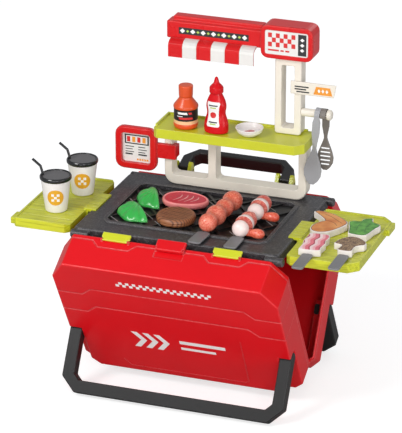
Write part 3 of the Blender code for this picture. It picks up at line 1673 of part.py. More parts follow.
def threaded(food, radius):
    """Cuts the rod's bore through food whose axis lies one radius over the grill."""
    length = STICK_LENGTH + OVERRUN
    bore = lathe([
        (0, -length), (STICK_RADIUS + GAP, -length), (STICK_RADIUS + GAP, length), (0, length)
    ], 10, "Y")
    return cut(food, shift(bore, z=stick_rise() - radius))


def skewer_1(frame):
    x, y, z = grill_point(SKEWER_1_SHARE, 0)
    radius = LUMP_RADIUS
    radii = (radius * SMALL_LUMP_SHARE, radius) * 2
    centres = [LUMP_PITCH * (count + 0.34) for count in range(len(radii))]
    food = threaded(lumps(centres, radii, radius * WAIST_SHARE), radius)
    finish(smooth(food, 60), "skewer_1_chicken", SALMON, frame)
    food.location = (x, y, z + radius)
    grip = stick("skewer_1_stick", frame)
    grip.location = (x, y, z + stick_rise())
    for item in (grip, food):
        item.rotation_euler = (0, 0, SKEWER_1_TURN)


def prawn_tail():
    length = TAIL_LENGTH
    radius = TAIL_RADIUS
    tail = lathe([
        (0, 0), (radius * 0.80, 0), (radius * 0.90, length * 0.30), (radius * 0.75, length * 0.55),
        (radius, length * 0.80), (radius * 0.70, length * 0.97), (0, length),
    ], 12, "X")
    return tail


def skewer_2(frame):
    x, y, z = grill_point(SKEWER_2_SHARE, 0)
    radius = PRAWN_RADIUS
    spread = PRAWN_LENGTH / 3
    centres = []
    for count in range(2):
        middle = spread * 1.5 + PRAWN_PITCH * count
        centres += [middle - spread, middle, middle + spread]
    radii = (radius * SMALL_LUMP_SHARE, radius, radius * SMALL_LUMP_SHARE) * 2
    food = lumps(centres, radii, radius * SLEEVE_SHARE)
    for centre in centres[::3]:
        tail = shift(prawn_tail(), x=radius * 0.55, y=centre + spread / 4, z=TAIL_RADIUS - radius)
        join(food, tail)
    finish(smooth(threaded(food, radius), 60), "skewer_2_prawns", SALMON, frame)
    food.location = (x, y, z + radius)
    grip = stick("skewer_2_stick", frame)
    grip.location = (x, y, z + stick_rise())


# Food tokens on the right tray: thick flat shapes with a printed top.

TOKEN_THICKNESS = 0.011
TOKEN_SLOT_ROOM = 0.0004
SHORT_STICK = 0.026
TOKEN_GRIP = 0.057
TOKEN_GRIP_WIDTH = 0.018
BACON_WIDTH = 0.037
BACON_DEPTH = 0.067
MUSHROOM_WIDTH = 0.048
MUSHROOM_DEPTH = 0.059
WING_WIDTH = 0.065
WING_DEPTH = 0.085
SLICE_WIDTH = 0.052
SLICE_DEPTH = 0.073
WING_PLACE_SHARES = (0.234, 0.625)
SLICE_PLACE_SHARES = (0.737, 0.640)
BACON_PLACE_SHARES = (0.289, 0.056)
MUSHROOM_PLACE_SHARES = (0.750, 0.130)

# Outlines as shares of a token's width and depth, counted from its middle
WING_SHARES = [
    (-0.50, 0.42), (-0.41, 0.50), (-0.23, 0.49), (0.04, 0.42), (0.30, 0.28), (0.46, 0.15),
    (0.50, 0.03), (0.38, -0.20), (0.22, -0.41), (-0.01, -0.50), (-0.18, -0.47), (-0.27, -0.37),
    (-0.29, -0.20), (-0.18, 0.00), (-0.06, 0.06), (-0.15, 0.16), (-0.28, 0.27), (-0.43, 0.38),
]
SLICE_SHARES = [
    (-0.50, 0.16), (-0.38, 0.25), (-0.16, 0.25), (-0.15, 0.40), (0.03, 0.49), (0.13, 0.50),
    (0.17, 0.30), (0.45, 0.22), (0.50, 0.14), (0.40, -0.05), (0.31, -0.45), (0.08, -0.50),
    (-0.18, -0.47), (-0.27, -0.45), (-0.35, -0.16), (-0.46, 0.05),
]
BACON_SHARES = [
    (-0.49, 0.46), (-0.09, 0.50), (0.37, 0.50), (0.45, 0.31), (0.39, 0.12), (0.49, -0.01),
    (0.43, -0.24), (0.50, -0.44), (0.15, -0.49), (-0.15, -0.50), (-0.43, -0.50), (-0.43, -0.34),
    (-0.42, -0.19), (-0.50, 0.01), (-0.49, 0.20),
]
MUSHROOM_SHARES = [
    (-0.50, -0.07), (-0.46, 0.15), (-0.31, 0.37), (-0.10, 0.50), (0.13, 0.47), (0.37, 0.33),
    (0.50, 0.16), (0.47, 0.03), (0.30, -0.05), (0.21, -0.18), (0.24, -0.46), (-0.01, -0.50),
    (-0.21, -0.48), (-0.26, -0.41), (-0.19, -0.18), (-0.25, -0.12), (-0.40, -0.10),
]


def token(shares, width, depth, front=0.0):
    """A token whose nearest edge lies a little behind the given front line."""
    outline = [(u * width, front + GAP + (v + 0.5) * depth) for u, v in shares]
    return soften(prism(outline, 0, TOKEN_THICKNESS), TOKEN_THICKNESS * 0.06, 1, 25)


def token_stick(name, frame):
    """A short skewer whose flat grip lies on the tray's rim, with one token on its tip."""
    width = TOKEN_GRIP_WIDTH
    low = TRAY_RIM_RISE
    grip = prism(
        rounded(-width / 2, width / 2, -TOKEN_GRIP, -GAP, width * 0.25, 3),
        low, low + PADDLE_THICKNESS,
    )
    soften(grip, PADDLE_THICKNESS * 0.15, 1, 60)
    tip = block(
        -STICK_RADIUS, STICK_RADIUS, -TOKEN_GRIP / 4, SHORT_STICK,
        low + PADDLE_THICKNESS / 4, low + PADDLE_THICKNESS * 0.75,
    )
    join(grip, tip)
    return finish(grip, name, GREY, frame)


def tip_socket():
    """The slot in a token's edge that takes the stick's tip."""
    room = TOKEN_SLOT_ROOM
    return block(
        -STICK_RADIUS - room, STICK_RADIUS + room, -OVERRUN, SHORT_STICK + room,
        TRAY_RIM_RISE + PADDLE_THICKNESS / 4 - room,
        TRAY_RIM_RISE + PADDLE_THICKNESS * 0.75 + room,
    )


def speared_token(name, stick_name, shares, width, depth, place_shares, frame):
    body = cut(token(shares, width, depth), tip_socket())
    finish(body, name, CREAM, frame)
    grip = token_stick(stick_name, frame)
    for item in (body, grip):
        item.location = tray_point(1, *place_shares)


def loose_token(name, shares, width, depth, place_shares, frame):
    body = token(shares, width, depth, -depth / 2)
    finish(body, name, CREAM, frame)
    body.location = tray_point(1, *place_shares)


def tokens(frame):
    speared_token(
        "bacon_token", "skewer_3_stick", BACON_SHARES, BACON_WIDTH, BACON_DEPTH,
        BACON_PLACE_SHARES, frame,
    )
    speared_token(
        "mushroom_token", "skewer_4_stick", MUSHROOM_SHARES, MUSHROOM_WIDTH, MUSHROOM_DEPTH,
        MUSHROOM_PLACE_SHARES, frame,
    )
    loose_token("wing_token", WING_SHARES, WING_WIDTH, WING_DEPTH, WING_PLACE_SHARES, frame)
    loose_token("slice_token", SLICE_SHARES, SLICE_WIDTH, SLICE_DEPTH, SLICE_PLACE_SHARES, frame)


def main():
    clear_scene()
    hinge_line = (CASE_MIDDLE, 0, HINGE_HEIGHT)
    front = empty("front_half", hinge_line, (CASE_LEAN, 0, 0))
    rear = empty("rear_half", hinge_line, (CASE_LEAN, 0, math.pi))
    front_shell(front)
    rear_shell(rear)
    hinge_pin()
    leg("front_leg", front)
    leg("rear_leg", rear)
    latches(front)
    carry_handle(rear)
    handle_bracket("handle_bracket_left", 1, rear)
    handle_bracket("handle_bracket_right", -1, rear)
    top = worktop_frame()
    worktop(top)
    grill_plate(top)
    side_tray("side_tray_left", -1, top)
    side_tray("side_tray_right", 1, top)
    support_frame(top)
    shelf(top)
    menu_frame(top)
    menu_panel(top)
    on_shelf = shelf_frame()
    sign_post(on_shelf)
    sign_box(on_shelf)
    sign_box_panel(on_shelf)
    sign_beam(on_shelf)
    awning(on_shelf)
    awning_whites(on_shelf)
    side_sign(on_shelf)
    hook_bar(on_shelf)
    utensils(on_shelf)
    sauce_bottle(on_shelf)
    squeeze_bottle(on_shelf)
    dish(on_shelf)
    cup("cup_front", top)
    cup("cup_rear", top)
    patty(top)
    steak(top)
    pepper_half("pepper_half_1", top)
    pepper_half("pepper_half_2", top)
    skewer_1(top)
    skewer_2(top)
    tokens(top)


main()
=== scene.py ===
"""Looks of the toy barbecue grill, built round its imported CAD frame.

The sections follow the toy as it is put together: suitcase, legs, latches, handle,
worktop, trays, kitchen stand, sign, utensils, then the play food and drinks.
"""

import math

import bmesh
import bpy
from mathutils import Matrix, Vector


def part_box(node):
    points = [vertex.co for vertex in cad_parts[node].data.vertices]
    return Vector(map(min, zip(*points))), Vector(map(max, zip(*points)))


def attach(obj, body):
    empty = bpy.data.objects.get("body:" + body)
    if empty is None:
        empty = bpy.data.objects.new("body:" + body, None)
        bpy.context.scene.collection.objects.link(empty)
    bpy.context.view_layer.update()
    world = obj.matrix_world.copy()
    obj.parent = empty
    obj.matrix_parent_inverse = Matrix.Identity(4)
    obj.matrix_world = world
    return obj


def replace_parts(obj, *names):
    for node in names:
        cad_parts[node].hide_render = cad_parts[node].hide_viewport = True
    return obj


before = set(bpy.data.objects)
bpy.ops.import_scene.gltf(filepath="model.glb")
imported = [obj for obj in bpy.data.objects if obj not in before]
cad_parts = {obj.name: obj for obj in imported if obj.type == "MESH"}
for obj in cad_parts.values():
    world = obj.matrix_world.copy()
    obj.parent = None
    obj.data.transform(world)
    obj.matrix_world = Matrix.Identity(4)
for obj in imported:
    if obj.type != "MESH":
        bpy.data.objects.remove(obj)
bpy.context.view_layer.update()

# Where the suitcase's middle lies along the frame's X.
middle = -0.0102


# Studio: a white table under a soft white sky, lit by five broad round lamps: three in
# front, one at the right side and a weak one behind. The camera stands where the
# photograph was taken, about 4.5 m off with a long lens.

camera_data = bpy.data.cameras.new("camera")
camera = bpy.data.objects.new("camera", camera_data)
bpy.context.collection.objects.link(camera)
camera_turn = math.radians(19.87)
camera_rise = math.radians(22.49)
camera_away = 4.5194
focal_pixels = 2870.16
picture_pixels = 433
sensor_height = 36
look_at = Vector((0.00187 + middle, -0.01237, 0.27602))
toward = Vector((
    math.sin(camera_turn) * math.cos(camera_rise),
    -math.cos(camera_turn) * math.cos(camera_rise),
    math.sin(camera_rise),
))
camera.location = look_at + toward * camera_away
camera.rotation_euler = toward.to_track_quat("Z", "Y").to_euler()
camera_data.sensor_fit = "VERTICAL"
camera_data.sensor_height = sensor_height
camera_data.lens = focal_pixels / picture_pixels * sensor_height
camera_data.clip_end = 50
bpy.context.scene.camera = camera
bpy.context.scene.view_settings.view_transform = "Standard"


def add(tree, kind, values=None, **settings):
    """A node with its settings; each input gets a value or a socket."""
    item = tree.nodes.new(kind)
    for name, value in settings.items():
        setattr(item, name, value)
    for name, value in (values or {}).items():
        if isinstance(value, bpy.types.NodeSocket):
            tree.links.new(value, item.inputs[name])
        else:
            item.inputs[name].default_value = value
    return item


def lamp(name, place, size, power):
    """A round lamp that faces the toy."""
    light = bpy.data.lights.new(name, "AREA")
    light.shape = "DISK"
    light.size = size
    light.energy = power
    item = bpy.data.objects.new(name, light)
    bpy.context.collection.objects.link(item)
    item.location = place
    aim = Vector(place) - look_at
    item.rotation_euler = aim.to_track_quat("Z", "Y").to_euler()


lamp("key lamp", (-1.3, -2.1, 2.3), 1.1, 46)
lamp("low lamp", (0.3, -3.0, 0.35), 1.4, 26)
lamp("fill lamp", (1.9, -3.0, 1.6), 1.1, 34)
lamp("back lamp", (0.4, 2.3, 2.2), 1.5, 12)
lamp("side lamp", (2.6, -1.0, 0.25), 1.2, 20)

sky = bpy.data.worlds.new("sky")
sky.use_nodes = True
sky_tree = sky.node_tree
sky_tree.nodes.clear()
seen = add(sky_tree, "ShaderNodeLightPath").outputs["Is Camera Ray"]
plain_sky = add(sky_tree, "ShaderNodeBackground", {"Color": (0.93, 0.96, 1, 1), "Strength": 0.44})
white_sky = add(sky_tree, "ShaderNodeBackground", {"Color": (1, 1, 1, 1), "Strength": 1})
either = add(sky_tree, "ShaderNodeMixShader", {
    0: seen, 1: plain_sky.outputs[0], 2: white_sky.outputs[0],
})
add(sky_tree, "ShaderNodeOutputWorld", {"Surface": either.outputs[0]})
bpy.context.scene.world = sky

table_reach = 9
table_mesh = bpy.data.meshes.new("table")
table_mesh.from_pydata([
    (across * table_reach, back * table_reach, 0)
    for across, back in ((-1, -1), (1, -1), (1, 1), (-1, 1))
], [], [(0, 1, 2, 3)])
table = bpy.data.objects.new("table", table_mesh)
bpy.context.collection.objects.link(table)
table_paint = bpy.data.materials.new("white table")
table_paint.use_nodes = True
table_tree = table_paint.node_tree
table_tree.nodes.clear()
matt = add(table_tree, "ShaderNodeBsdfDiffuse", {"Color": (0.50, 0.50, 0.50, 1)})
glow = add(table_tree, "ShaderNodeEmission", {"Color": (1, 1, 1, 1), "Strength": 0.68})
nothing = add(table_tree, "ShaderNodeEmission", {"Color": (0, 0, 0, 1), "Strength": 0})
camera_glow = add(table_tree, "ShaderNodeMixShader", {
    0: add(table_tree, "ShaderNodeLightPath").outputs["Is Camera Ray"],
    1: nothing.outputs[0], 2: glow.outputs[0],
})
table_sum = add(table_tree, "ShaderNodeAddShader", {
    0: matt.outputs[0], 1: camera_glow.outputs[0],
})
add(table_tree, "ShaderNodeOutputMaterial", {"Surface": table_sum.outputs[0]})
table_mesh.materials.append(table_paint)


# Suitcase halves: two deep trays moulded in glossy red plastic, joined along their
# feet by a steel pin. A pale painted highlight runs along their rounded edges, and
# the colour clouds a little where the plastic flowed in the mould.

def calculate(tree, operation, *terms):
    """One step of arithmetic on sockets and numbers."""
    return add(tree, "ShaderNodeMath", dict(enumerate(terms)), operation=operation).outputs[0]


def skin_group():
    """Colour, roughness and relief of moulded plastic, with a pale painted highlight on its rounded
    edges.
    """
    tree = bpy.data.node_groups.new("moulded skin", "ShaderNodeTree")
    starts = (
        ("Colour", "NodeSocketColor", (0.8, 0.8, 0.8, 1)),
        ("Edge Highlight Colour", "NodeSocketColor", (1, 1, 1, 1)),
        ("Edge Width", "NodeSocketFloat", 0.001),
        ("Edge Amount", "NodeSocketFloat", 0.4),
        ("Cloud Scale", "NodeSocketFloat", 14),
        ("Cloud Depth", "NodeSocketFloat", 0.08),
        ("Grain Scale", "NodeSocketFloat", 900),
        ("Grain Height", "NodeSocketFloat", 0.00002),
        ("Roughness", "NodeSocketFloat", 0.35),
        ("Roughness Spread", "NodeSocketFloat", 0.1),
    )
    for name, kind, start in starts:
        socket = tree.interface.new_socket(name, in_out="INPUT", socket_type=kind)
        socket.default_value = start
    for name, kind in (
        ("Colour", "NodeSocketColor"), ("Roughness", "NodeSocketFloat"),
        ("Normal", "NodeSocketVector"),
    ):
        tree.interface.new_socket(name, in_out="OUTPUT", socket_type=kind)
    given = add(tree, "NodeGroupInput").outputs
    place = add(tree, "ShaderNodeTexCoord").outputs["Object"]
    cloud = add(tree, "ShaderNodeTexNoise", {
        "Vector": place, "Scale": given["Cloud Scale"], "Detail": 3.0, "Roughness": 0.55,
    }).outputs["Fac"]
    centred = calculate(tree, "SUBTRACT", cloud, 0.5)
    depth = calculate(tree, "MULTIPLY", given["Cloud Depth"], 2.0)
    bright = calculate(tree, "MULTIPLY_ADD", centred, depth, 1.0)
    clouded = add(tree, "ShaderNodeHueSaturation", {
        "Value": bright, "Color": given["Colour"],
    }).outputs["Color"]
    # Painted highlight: where the rounded normal turns away from the surface's own normal, the colour
    # turns towards the pale edge highlight colour.
    rounded = add(tree, "ShaderNodeBevel", {"Radius": given["Edge Width"]}, samples=6).outputs[0]
    straight = add(tree, "ShaderNodeNewGeometry").outputs["Normal"]
    along = add(tree, "ShaderNodeVectorMath", {0: rounded, 1: straight}, operation="DOT_PRODUCT")
    bend = add(tree, "ShaderNodeMapRange", {
        "Value": along.outputs["Value"], "From Min": 0.995, "From Max": 0.86,
        "To Min": 0.0, "To Max": 1.0,
    }).outputs[0]
    # Noise breaks the painted edge highlight into patches.
    sheen_breakup = add(tree, "ShaderNodeTexNoise", {"Vector": place, "Scale": 160.0, "Detail": 2.0})
    sheen_breakup_share = add(tree, "ShaderNodeMapRange", {
        "Value": sheen_breakup.outputs["Fac"], "From Min": 0.3, "From Max": 0.6, "To Min": 0.45, "To Max": 1.0,
    }).outputs[0]
    amount = calculate(tree, "MULTIPLY", bend, sheen_breakup_share)
    edge_highlight = calculate(tree, "MULTIPLY", amount, given["Edge Amount"])
    coloured = add(tree, "ShaderNodeMix", {
        0: edge_highlight, 6: clouded, 7: given["Edge Highlight Colour"],
    }, data_type="RGBA").outputs[2]
    gloss = calculate(
        tree, "MULTIPLY_ADD", centred, given["Roughness Spread"], given["Roughness"]
    )
    grain = add(tree, "ShaderNodeTexNoise", {
        "Vector": place, "Scale": given["Grain Scale"], "Detail": 2.0,
    }).outputs["Fac"]
    relief = add(tree, "ShaderNodeBump", {
        "Strength": 1.0, "Distance": given["Grain Height"], "Height": grain, "Normal": rounded,
    }).outputs[0]
    add(tree, "NodeGroupOutput", {"Colour": coloured, "Roughness": gloss, "Normal": relief})
    return tree


moulded_skin = skin_group()


def moulded(name, colour, edge_highlight_colour, coat=0.0, specular=0.5, **skin):
    """A plastic of one colour; its edge colour is a painted highlight on rounded edges. The words in
    skin are inputs of the skin group.
    """
    material = bpy.data.materials.new(name)
    material.use_nodes = True
    tree = material.node_tree
    shader = tree.nodes["Principled BSDF"]
    shader.inputs["Coat Weight"].default_value = coat
    shader.inputs["Coat Roughness"].default_value = 0.12
    shader.inputs["Specular IOR Level"].default_value = specular
    group = add(tree, "ShaderNodeGroup", node_tree=moulded_skin)
    group.inputs["Colour"].default_value = (*colour, 1)
    group.inputs["Edge Highlight Colour"].default_value = (*edge_highlight_colour, 1)
    for word, value in skin.items():
        group.inputs[word.replace("_", " ").title()].default_value = value
    tree.links.new(group.outputs["Colour"], shader.inputs["Base Color"])
    tree.links.new(group.outputs["Roughness"], shader.inputs["Roughness"])
    tree.links.new(group.outputs["Normal"], shader.inputs["Normal"])
    return material


def dress(material, *nodes):
    """Gives CAD nodes, whose shape is kept, their finish."""
    for node in nodes:
        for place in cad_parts[node].material_slots:
            place.material = material


# The pale pink edge colour is a painted highlight on the case's rounded edges.
case_red = moulded(
    "glossy red case plastic", (0.70, 0.005, 0.010), (0.88, 0.20, 0.21), coat=0.04,
    specular=0.2, edge_width=0.0020, edge_amount=0.72, cloud_depth=0.08, roughness=0.33,
)
dress(case_red, "front_shell", "rear_shell")
pin_steel = moulded(
    "steel hinge pin", (0.50, 0.50, 0.52), (0.7, 0.7, 0.7), edge_amount=0.2, roughness=0.32,
)
pin_steel.node_tree.nodes["Principled BSDF"].inputs["Metallic"].default_value = 1
dress(pin_steel, "hinge_pin")


def piece(name, shape, body, *materials, soften=None):
    """A finished piece from a bmesh in world places, riding on a body."""
    mesh = bpy.data.meshes.new(name)
    bmesh.ops.recalc_face_normals(shape, faces=shape.faces)
    shape.to_mesh(mesh)
    shape.free()
    if soften:
        mesh.shade_smooth()
        mesh.set_sharp_from_angle(angle=math.radians(soften))
    for material in materials:
        mesh.materials.append(material)
    item = bpy.data.objects.new(name, mesh)
    bpy.context.collection.objects.link(item)
    if body:
        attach(item, body)
    return item


def plate(shape, outline, low, high, lay, slot=0):
    """A thin plate with this outline; lay turns (u, v, depth) into a world place."""
    rings = [[shape.verts.new(lay(u, v, depth)) for u, v in outline] for depth in (low, high)]
    count = len(outline)
    faces = [shape.faces.new(rings[0][::-1]), shape.faces.new(rings[1])]
    for i in range(count):
        after = (i + 1) % count
        faces.append(shape.faces.new((rings[0][i], rings[0][after], rings[1][after], rings[1][i])))
    for face in faces:
        face.material_index = slot


# Print on the front half: a strip of picnic checks and three plain chevrons with two
# bars, in flat white ink. The ink is laid on the middle of the face.

hinge_height = 0.031465
case_lean = math.radians(30)
case_depth = 0.062


def on_face(u, v, depth):
    """u along the hinge, v up the face, depth above its surface."""
    out = case_depth + depth
    return Vector((
        u + middle,
        -v * math.sin(case_lean) - out * math.cos(case_lean),
        hinge_height + v * math.cos(case_lean) - out * math.sin(case_lean),
    ))


def box_outline(left, right, low, high):
    """The four corners of an upright rectangle."""
    return [(left, low), (right, low), (right, high), (left, high)]


white_ink = moulded(
    "flat white ink", (0.86, 0.84, 0.82), (0.9, 0.9, 0.9), edge_amount=0.0,
    cloud_scale=120, cloud_depth=0.06, roughness=0.45, edge_width=0.0001,
)


def repeat_tree():
    """Copies the given mesh in rows and columns, and gives all of it one material."""
    tree = bpy.data.node_groups.new("rows of copies", "GeometryNodeTree")
    for name, kind in (
        ("Mesh", "NodeSocketGeometry"), ("Columns", "NodeSocketInt"), ("Rows", "NodeSocketInt"),
        ("Column Step", "NodeSocketVector"), ("Row Step", "NodeSocketVector"),
        ("Finish", "NodeSocketMaterial"),
    ):
        tree.interface.new_socket(name, in_out="INPUT", socket_type=kind)
    tree.interface.new_socket("Mesh", in_out="OUTPUT", socket_type="NodeSocketGeometry")
    given = add(tree, "NodeGroupInput").outputs
    columns = add(tree, "GeometryNodeMeshLine", {
        "Count": given["Columns"], "Offset": given["Column Step"],
    })
    rows = add(tree, "GeometryNodeMeshLine", {"Count": given["Rows"], "Offset": given["Row Step"]})
    places = add(tree, "GeometryNodeInstanceOnPoints", {
        "Points": rows.outputs[0], "Instance": columns.outputs[0],
    })
    points = add(tree, "GeometryNodeRealizeInstances", {0: places.outputs[0]})
    copies = add(tree, "GeometryNodeInstanceOnPoints", {
        "Points": points.outputs[0], "Instance": given["Mesh"],
    })
    whole = add(tree, "GeometryNodeRealizeInstances", {0: copies.outputs[0]})
    finished = add(tree, "GeometryNodeSetMaterial", {
        "Geometry": whole.outputs[0], "Material": given["Finish"],
    })
    add(tree, "NodeGroupOutput", {0: finished.outputs[0]})
    return tree


rows_of_copies = repeat_tree()


def settle(item, body, tree, **inputs):
    """Runs a node tree on the item and keeps its result as plain mesh."""
    change = item.modifiers.new("repeat", "NODES")
    change.node_group = tree
    for socket in tree.interface.items_tree:
        word = socket.name.lower().replace(" ", "_")
        if socket.in_out == "INPUT" and word in inputs:
            change[socket.identifier] = inputs[word]
    bpy.context.view_layer.update()
    graph = bpy.context.evaluated_depsgraph_get()
    mesh = bpy.data.meshes.new_from_object(item.evaluated_get(graph))
    item.modifiers.clear()
    item.data = mesh
    mesh.name = item.name
    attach(item, body)
    return item


ink_foot = 0.00002
ink_top = 0.00012
check_side = 0.0056
checks_left = -0.0785
checks_low = 0.2445
check_pairs = 14
checks = bmesh.new()
for shift in (0, check_side):
    left = checks_left + shift
    low = checks_low + shift
    plate(checks, box_outline(left, left + check_side, low, low + check_side), ink_foot, ink_top,
          on_face)
check_strip = piece("check_strip", checks, None)
settle(
    check_strip, "case", rows_of_copies, columns=check_pairs, rows=1,
    column_step=(2 * check_side, 0, 0), row_step=(0, 0, 0), finish=white_ink,
)

chevrons_left = -0.078
chevron_step = 0.019
chevron_band = 0.010
chevron_point = 0.014
chevron_low = 0.088
chevron_high = 0.127
chevron_middle = (chevron_low + chevron_high) / 2
bars_left = 0.002
chevrons = bmesh.new()
for count in range(3):
    left = chevrons_left + count * chevron_step
    plate(chevrons, [
        (left, chevron_low), (left + chevron_band, chevron_low),
        (left + chevron_band + chevron_point, chevron_middle), (left + chevron_band, chevron_high),
        (left, chevron_high), (left + chevron_point, chevron_middle),
    ], ink_foot, ink_top, on_face)
for low, high, right in ((0.112, 0.120, 0.078), (0.097, 0.103, 0.060)):
    plate(chevrons, box_outline(bars_left, right, low, high), ink_foot, ink_top, on_face)
piece("chevron_print", chevrons, "case", white_ink)


# Raised line low on the front half: a shallow moulded ridge that turns up at both ends.

face_route = [
    (-0.105, 0.047), (-0.094, 0.0325), (0.098, 0.0325), (0.104, 0.036), (0.107, 0.143),
]


def band_outline(route, width):
    """The outline of a band of even width along an open route."""
    sides = ([], [])
    for i, here in enumerate(route):
        here = Vector(here)
        back = here - Vector(route[i - 1]) if i else Vector(route[1]) - here
        ahead = Vector(route[i + 1]) - here if i + 1 < len(route) else back
        back, ahead = back.normalized(), ahead.normalized()
        across = Vector((-(back.y + ahead.y), back.x + ahead.x)).normalized()
        reach = width / 2 / max(across.dot(Vector((-back.y, back.x))), 0.4)
        sides[0].append(tuple(here + across * reach))
        sides[1].append(tuple(here - across * reach))
    return sides[1] + sides[0][::-1]


line_width = 0.0016
line_rise = 0.0004
face_line = bmesh.new()
plate(face_line, band_outline(face_route, line_width), ink_foot, line_rise, on_face)
piece("face_line", face_line, "case", case_red)


# Legs: two U-shaped bars of charcoal plastic with a fine spark finish, on short pins
# moulded on their arms.

charcoal = moulded(
    "charcoal leg plastic", (0.012, 0.012, 0.012), (0.10, 0.10, 0.10), specular=0.28,
    edge_width=0.0012, edge_amount=0.5, grain_scale=1400, grain_height=0.00004, roughness=0.40,
    cloud_depth=0.12,
)
dress(charcoal, "front_leg", "rear_leg")

# A small dark pad lies on the raised face inside each lower corner of the case: painted
# shade standing in for the dark inside of a small hole there. It is above the leg's pin,
# not on the pin's axis.
pad_across = 0.1662
pad_back = 0.08404
pad_height = 0.10003
pad_thick = 0.0008
pad_outline = [
    (-0.0050, -0.0060), (-0.0030, -0.0085), (0.0022, -0.0085), (0.0030, -0.0070),
    (0.0030, 0.0070), (0.0022, 0.0085), (-0.0030, 0.0085), (-0.0050, 0.0060),
]
rise_share = math.cos(case_lean)
back_share = math.sin(case_lean)
shade_pads = bmesh.new()
for side in (-1, 1):
    for half in (-1, 1):
        plate(shade_pads, pad_outline, ink_foot, pad_thick, lambda u, v, depth: (
            middle + side * (pad_across + u),
            half * (pad_back + v * back_share - depth * rise_share),
            pad_height + v * rise_share + depth * back_share,
        ))
piece("leg_pin_caps", shade_pads, "case", charcoal)


# Latches and hasp: small snap plates on pins between lugs of the front rim, two in
# lime and a wider one in red.

lime_gloss = moulded(
    "lime latch plastic", (0.60, 0.63, 0.012), (0.82, 0.84, 0.35), coat=0.3,
    edge_width=0.0009, edge_amount=0.6, roughness=0.33,
)
dress(lime_gloss, "latch_left", "latch_right", "handle_bracket_left", "handle_bracket_right")
dress(case_red, "center_hasp")


# Carry handle: a black strap with thick ends, turning between lime ears on the rear
# half. It is swung down behind the suitcase.

handle_black = moulded(
    "black handle plastic", (0.015, 0.014, 0.015), (0.12, 0.12, 0.12), edge_width=0.0012,
    edge_amount=0.45, grain_scale=1300, grain_height=0.00004, roughness=0.36,
)
dress(handle_black, "carry_handle")


# Worktop: a thick slate-coloured plate with a speckled stone finish, a raised lip
# round the pan and round pegs that rest on the suitcase rims.

def ramp(tree, factor, *stops, interpolation="LINEAR"):
    """Colours along a factor, from stops of position and colour in rising order."""
    item = add(tree, "ShaderNodeValToRGB", {0: factor})
    item.color_ramp.interpolation = interpolation
    elements = item.color_ramp.elements
    for element, (position, colour) in zip(elements, (stops[0], stops[-1])):
        element.position = position
        element.color = (*colour, 1)
    for position, colour in stops[1:-1]:
        elements.new(position).color = (*colour, 1)
    return item.outputs[0]


def recolour(material, colour):
    """Feeds a colour made by nodes into a moulded material's skin."""
    skin = next(item for item in material.node_tree.nodes if item.type == "GROUP")
    material.node_tree.links.new(colour, skin.inputs["Colour"])


def speckled(name, base, light, dark, edge_highlight_colour):
    """The moulded skin over a stone-like speckle of light and dark flecks."""
    material = moulded(
        name, base, edge_highlight_colour, specular=0.4, edge_width=0.0013, edge_amount=0.55, roughness=0.40,
        grain_scale=1500, grain_height=0.00003,
    )
    tree = material.node_tree
    place = add(tree, "ShaderNodeTexCoord").outputs["Object"]
    flecks = add(tree, "ShaderNodeTexVoronoi", {"Vector": place, "Scale": 520.0}).outputs["Color"]
    pick = add(tree, "ShaderNodeSeparateColor", {0: flecks}).outputs[0]
    recolour(material, ramp(tree, pick, (0.0, dark), (0.30, base), (0.72, base), (1.0, light)))
    return material


# The pale edge colour is a painted highlight along the worktop's rims and ridges.
slate = speckled(
    "speckled slate plastic", (0.042, 0.039, 0.042), (0.10, 0.095, 0.10), (0.018, 0.017, 0.018),
    (0.42, 0.40, 0.40),
)
dress(slate, "worktop")


# Grill plate: a black slab with crossing bars, lying loose in the pan. A few bars
# carry thin silver lines where their tops have been printed.

grill_black = moulded(
    "black grill plastic", (0.010, 0.009, 0.009), (0.12, 0.12, 0.12), specular=0.35,
    edge_width=0.0006, edge_amount=0.5, roughness=0.40, grain_scale=1200, grain_height=0.00003,
)
dress(grill_black, "grill_plate")
silver_ink = moulded(
    "silver ink", (0.42, 0.41, 0.40), (0.6, 0.6, 0.6), edge_amount=0.0, roughness=0.38,
    cloud_scale=300, cloud_depth=0.35, edge_width=0.0001,
)
plate_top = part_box("grill_plate")[1][2]
silver_lines = (
    (-0.1287, 0.0144, -0.0633, -0.0544), (-0.131, -0.064, -0.108, -0.084),
    (-0.095, 0.058, -0.083, 0.043), (-0.009, 0.049, 0.018, 0.023),
    (0.075, 0.070, 0.108, 0.042), (0.104, 0.002, 0.122, -0.016),
    (-0.058, -0.060, -0.042, -0.076), (0.066, -0.060, 0.078, -0.072),
)
silver_width = 0.0010
silver_foot = 0.00003
silver_top = 0.00015
lines = bmesh.new()
for x1, y1, x2, y2 in silver_lines:
    plate(lines, band_outline([(x1, y1), (x2, y2)], silver_width), silver_foot, silver_top,
          lambda u, v, depth: (u + middle, v, plate_top + depth))
piece("silver_lines", lines, "worktop", silver_ink)


# Side trays: lime plastic with planked decks and a ribbed tongue each, which hooks
# into a notch at the worktop's end.

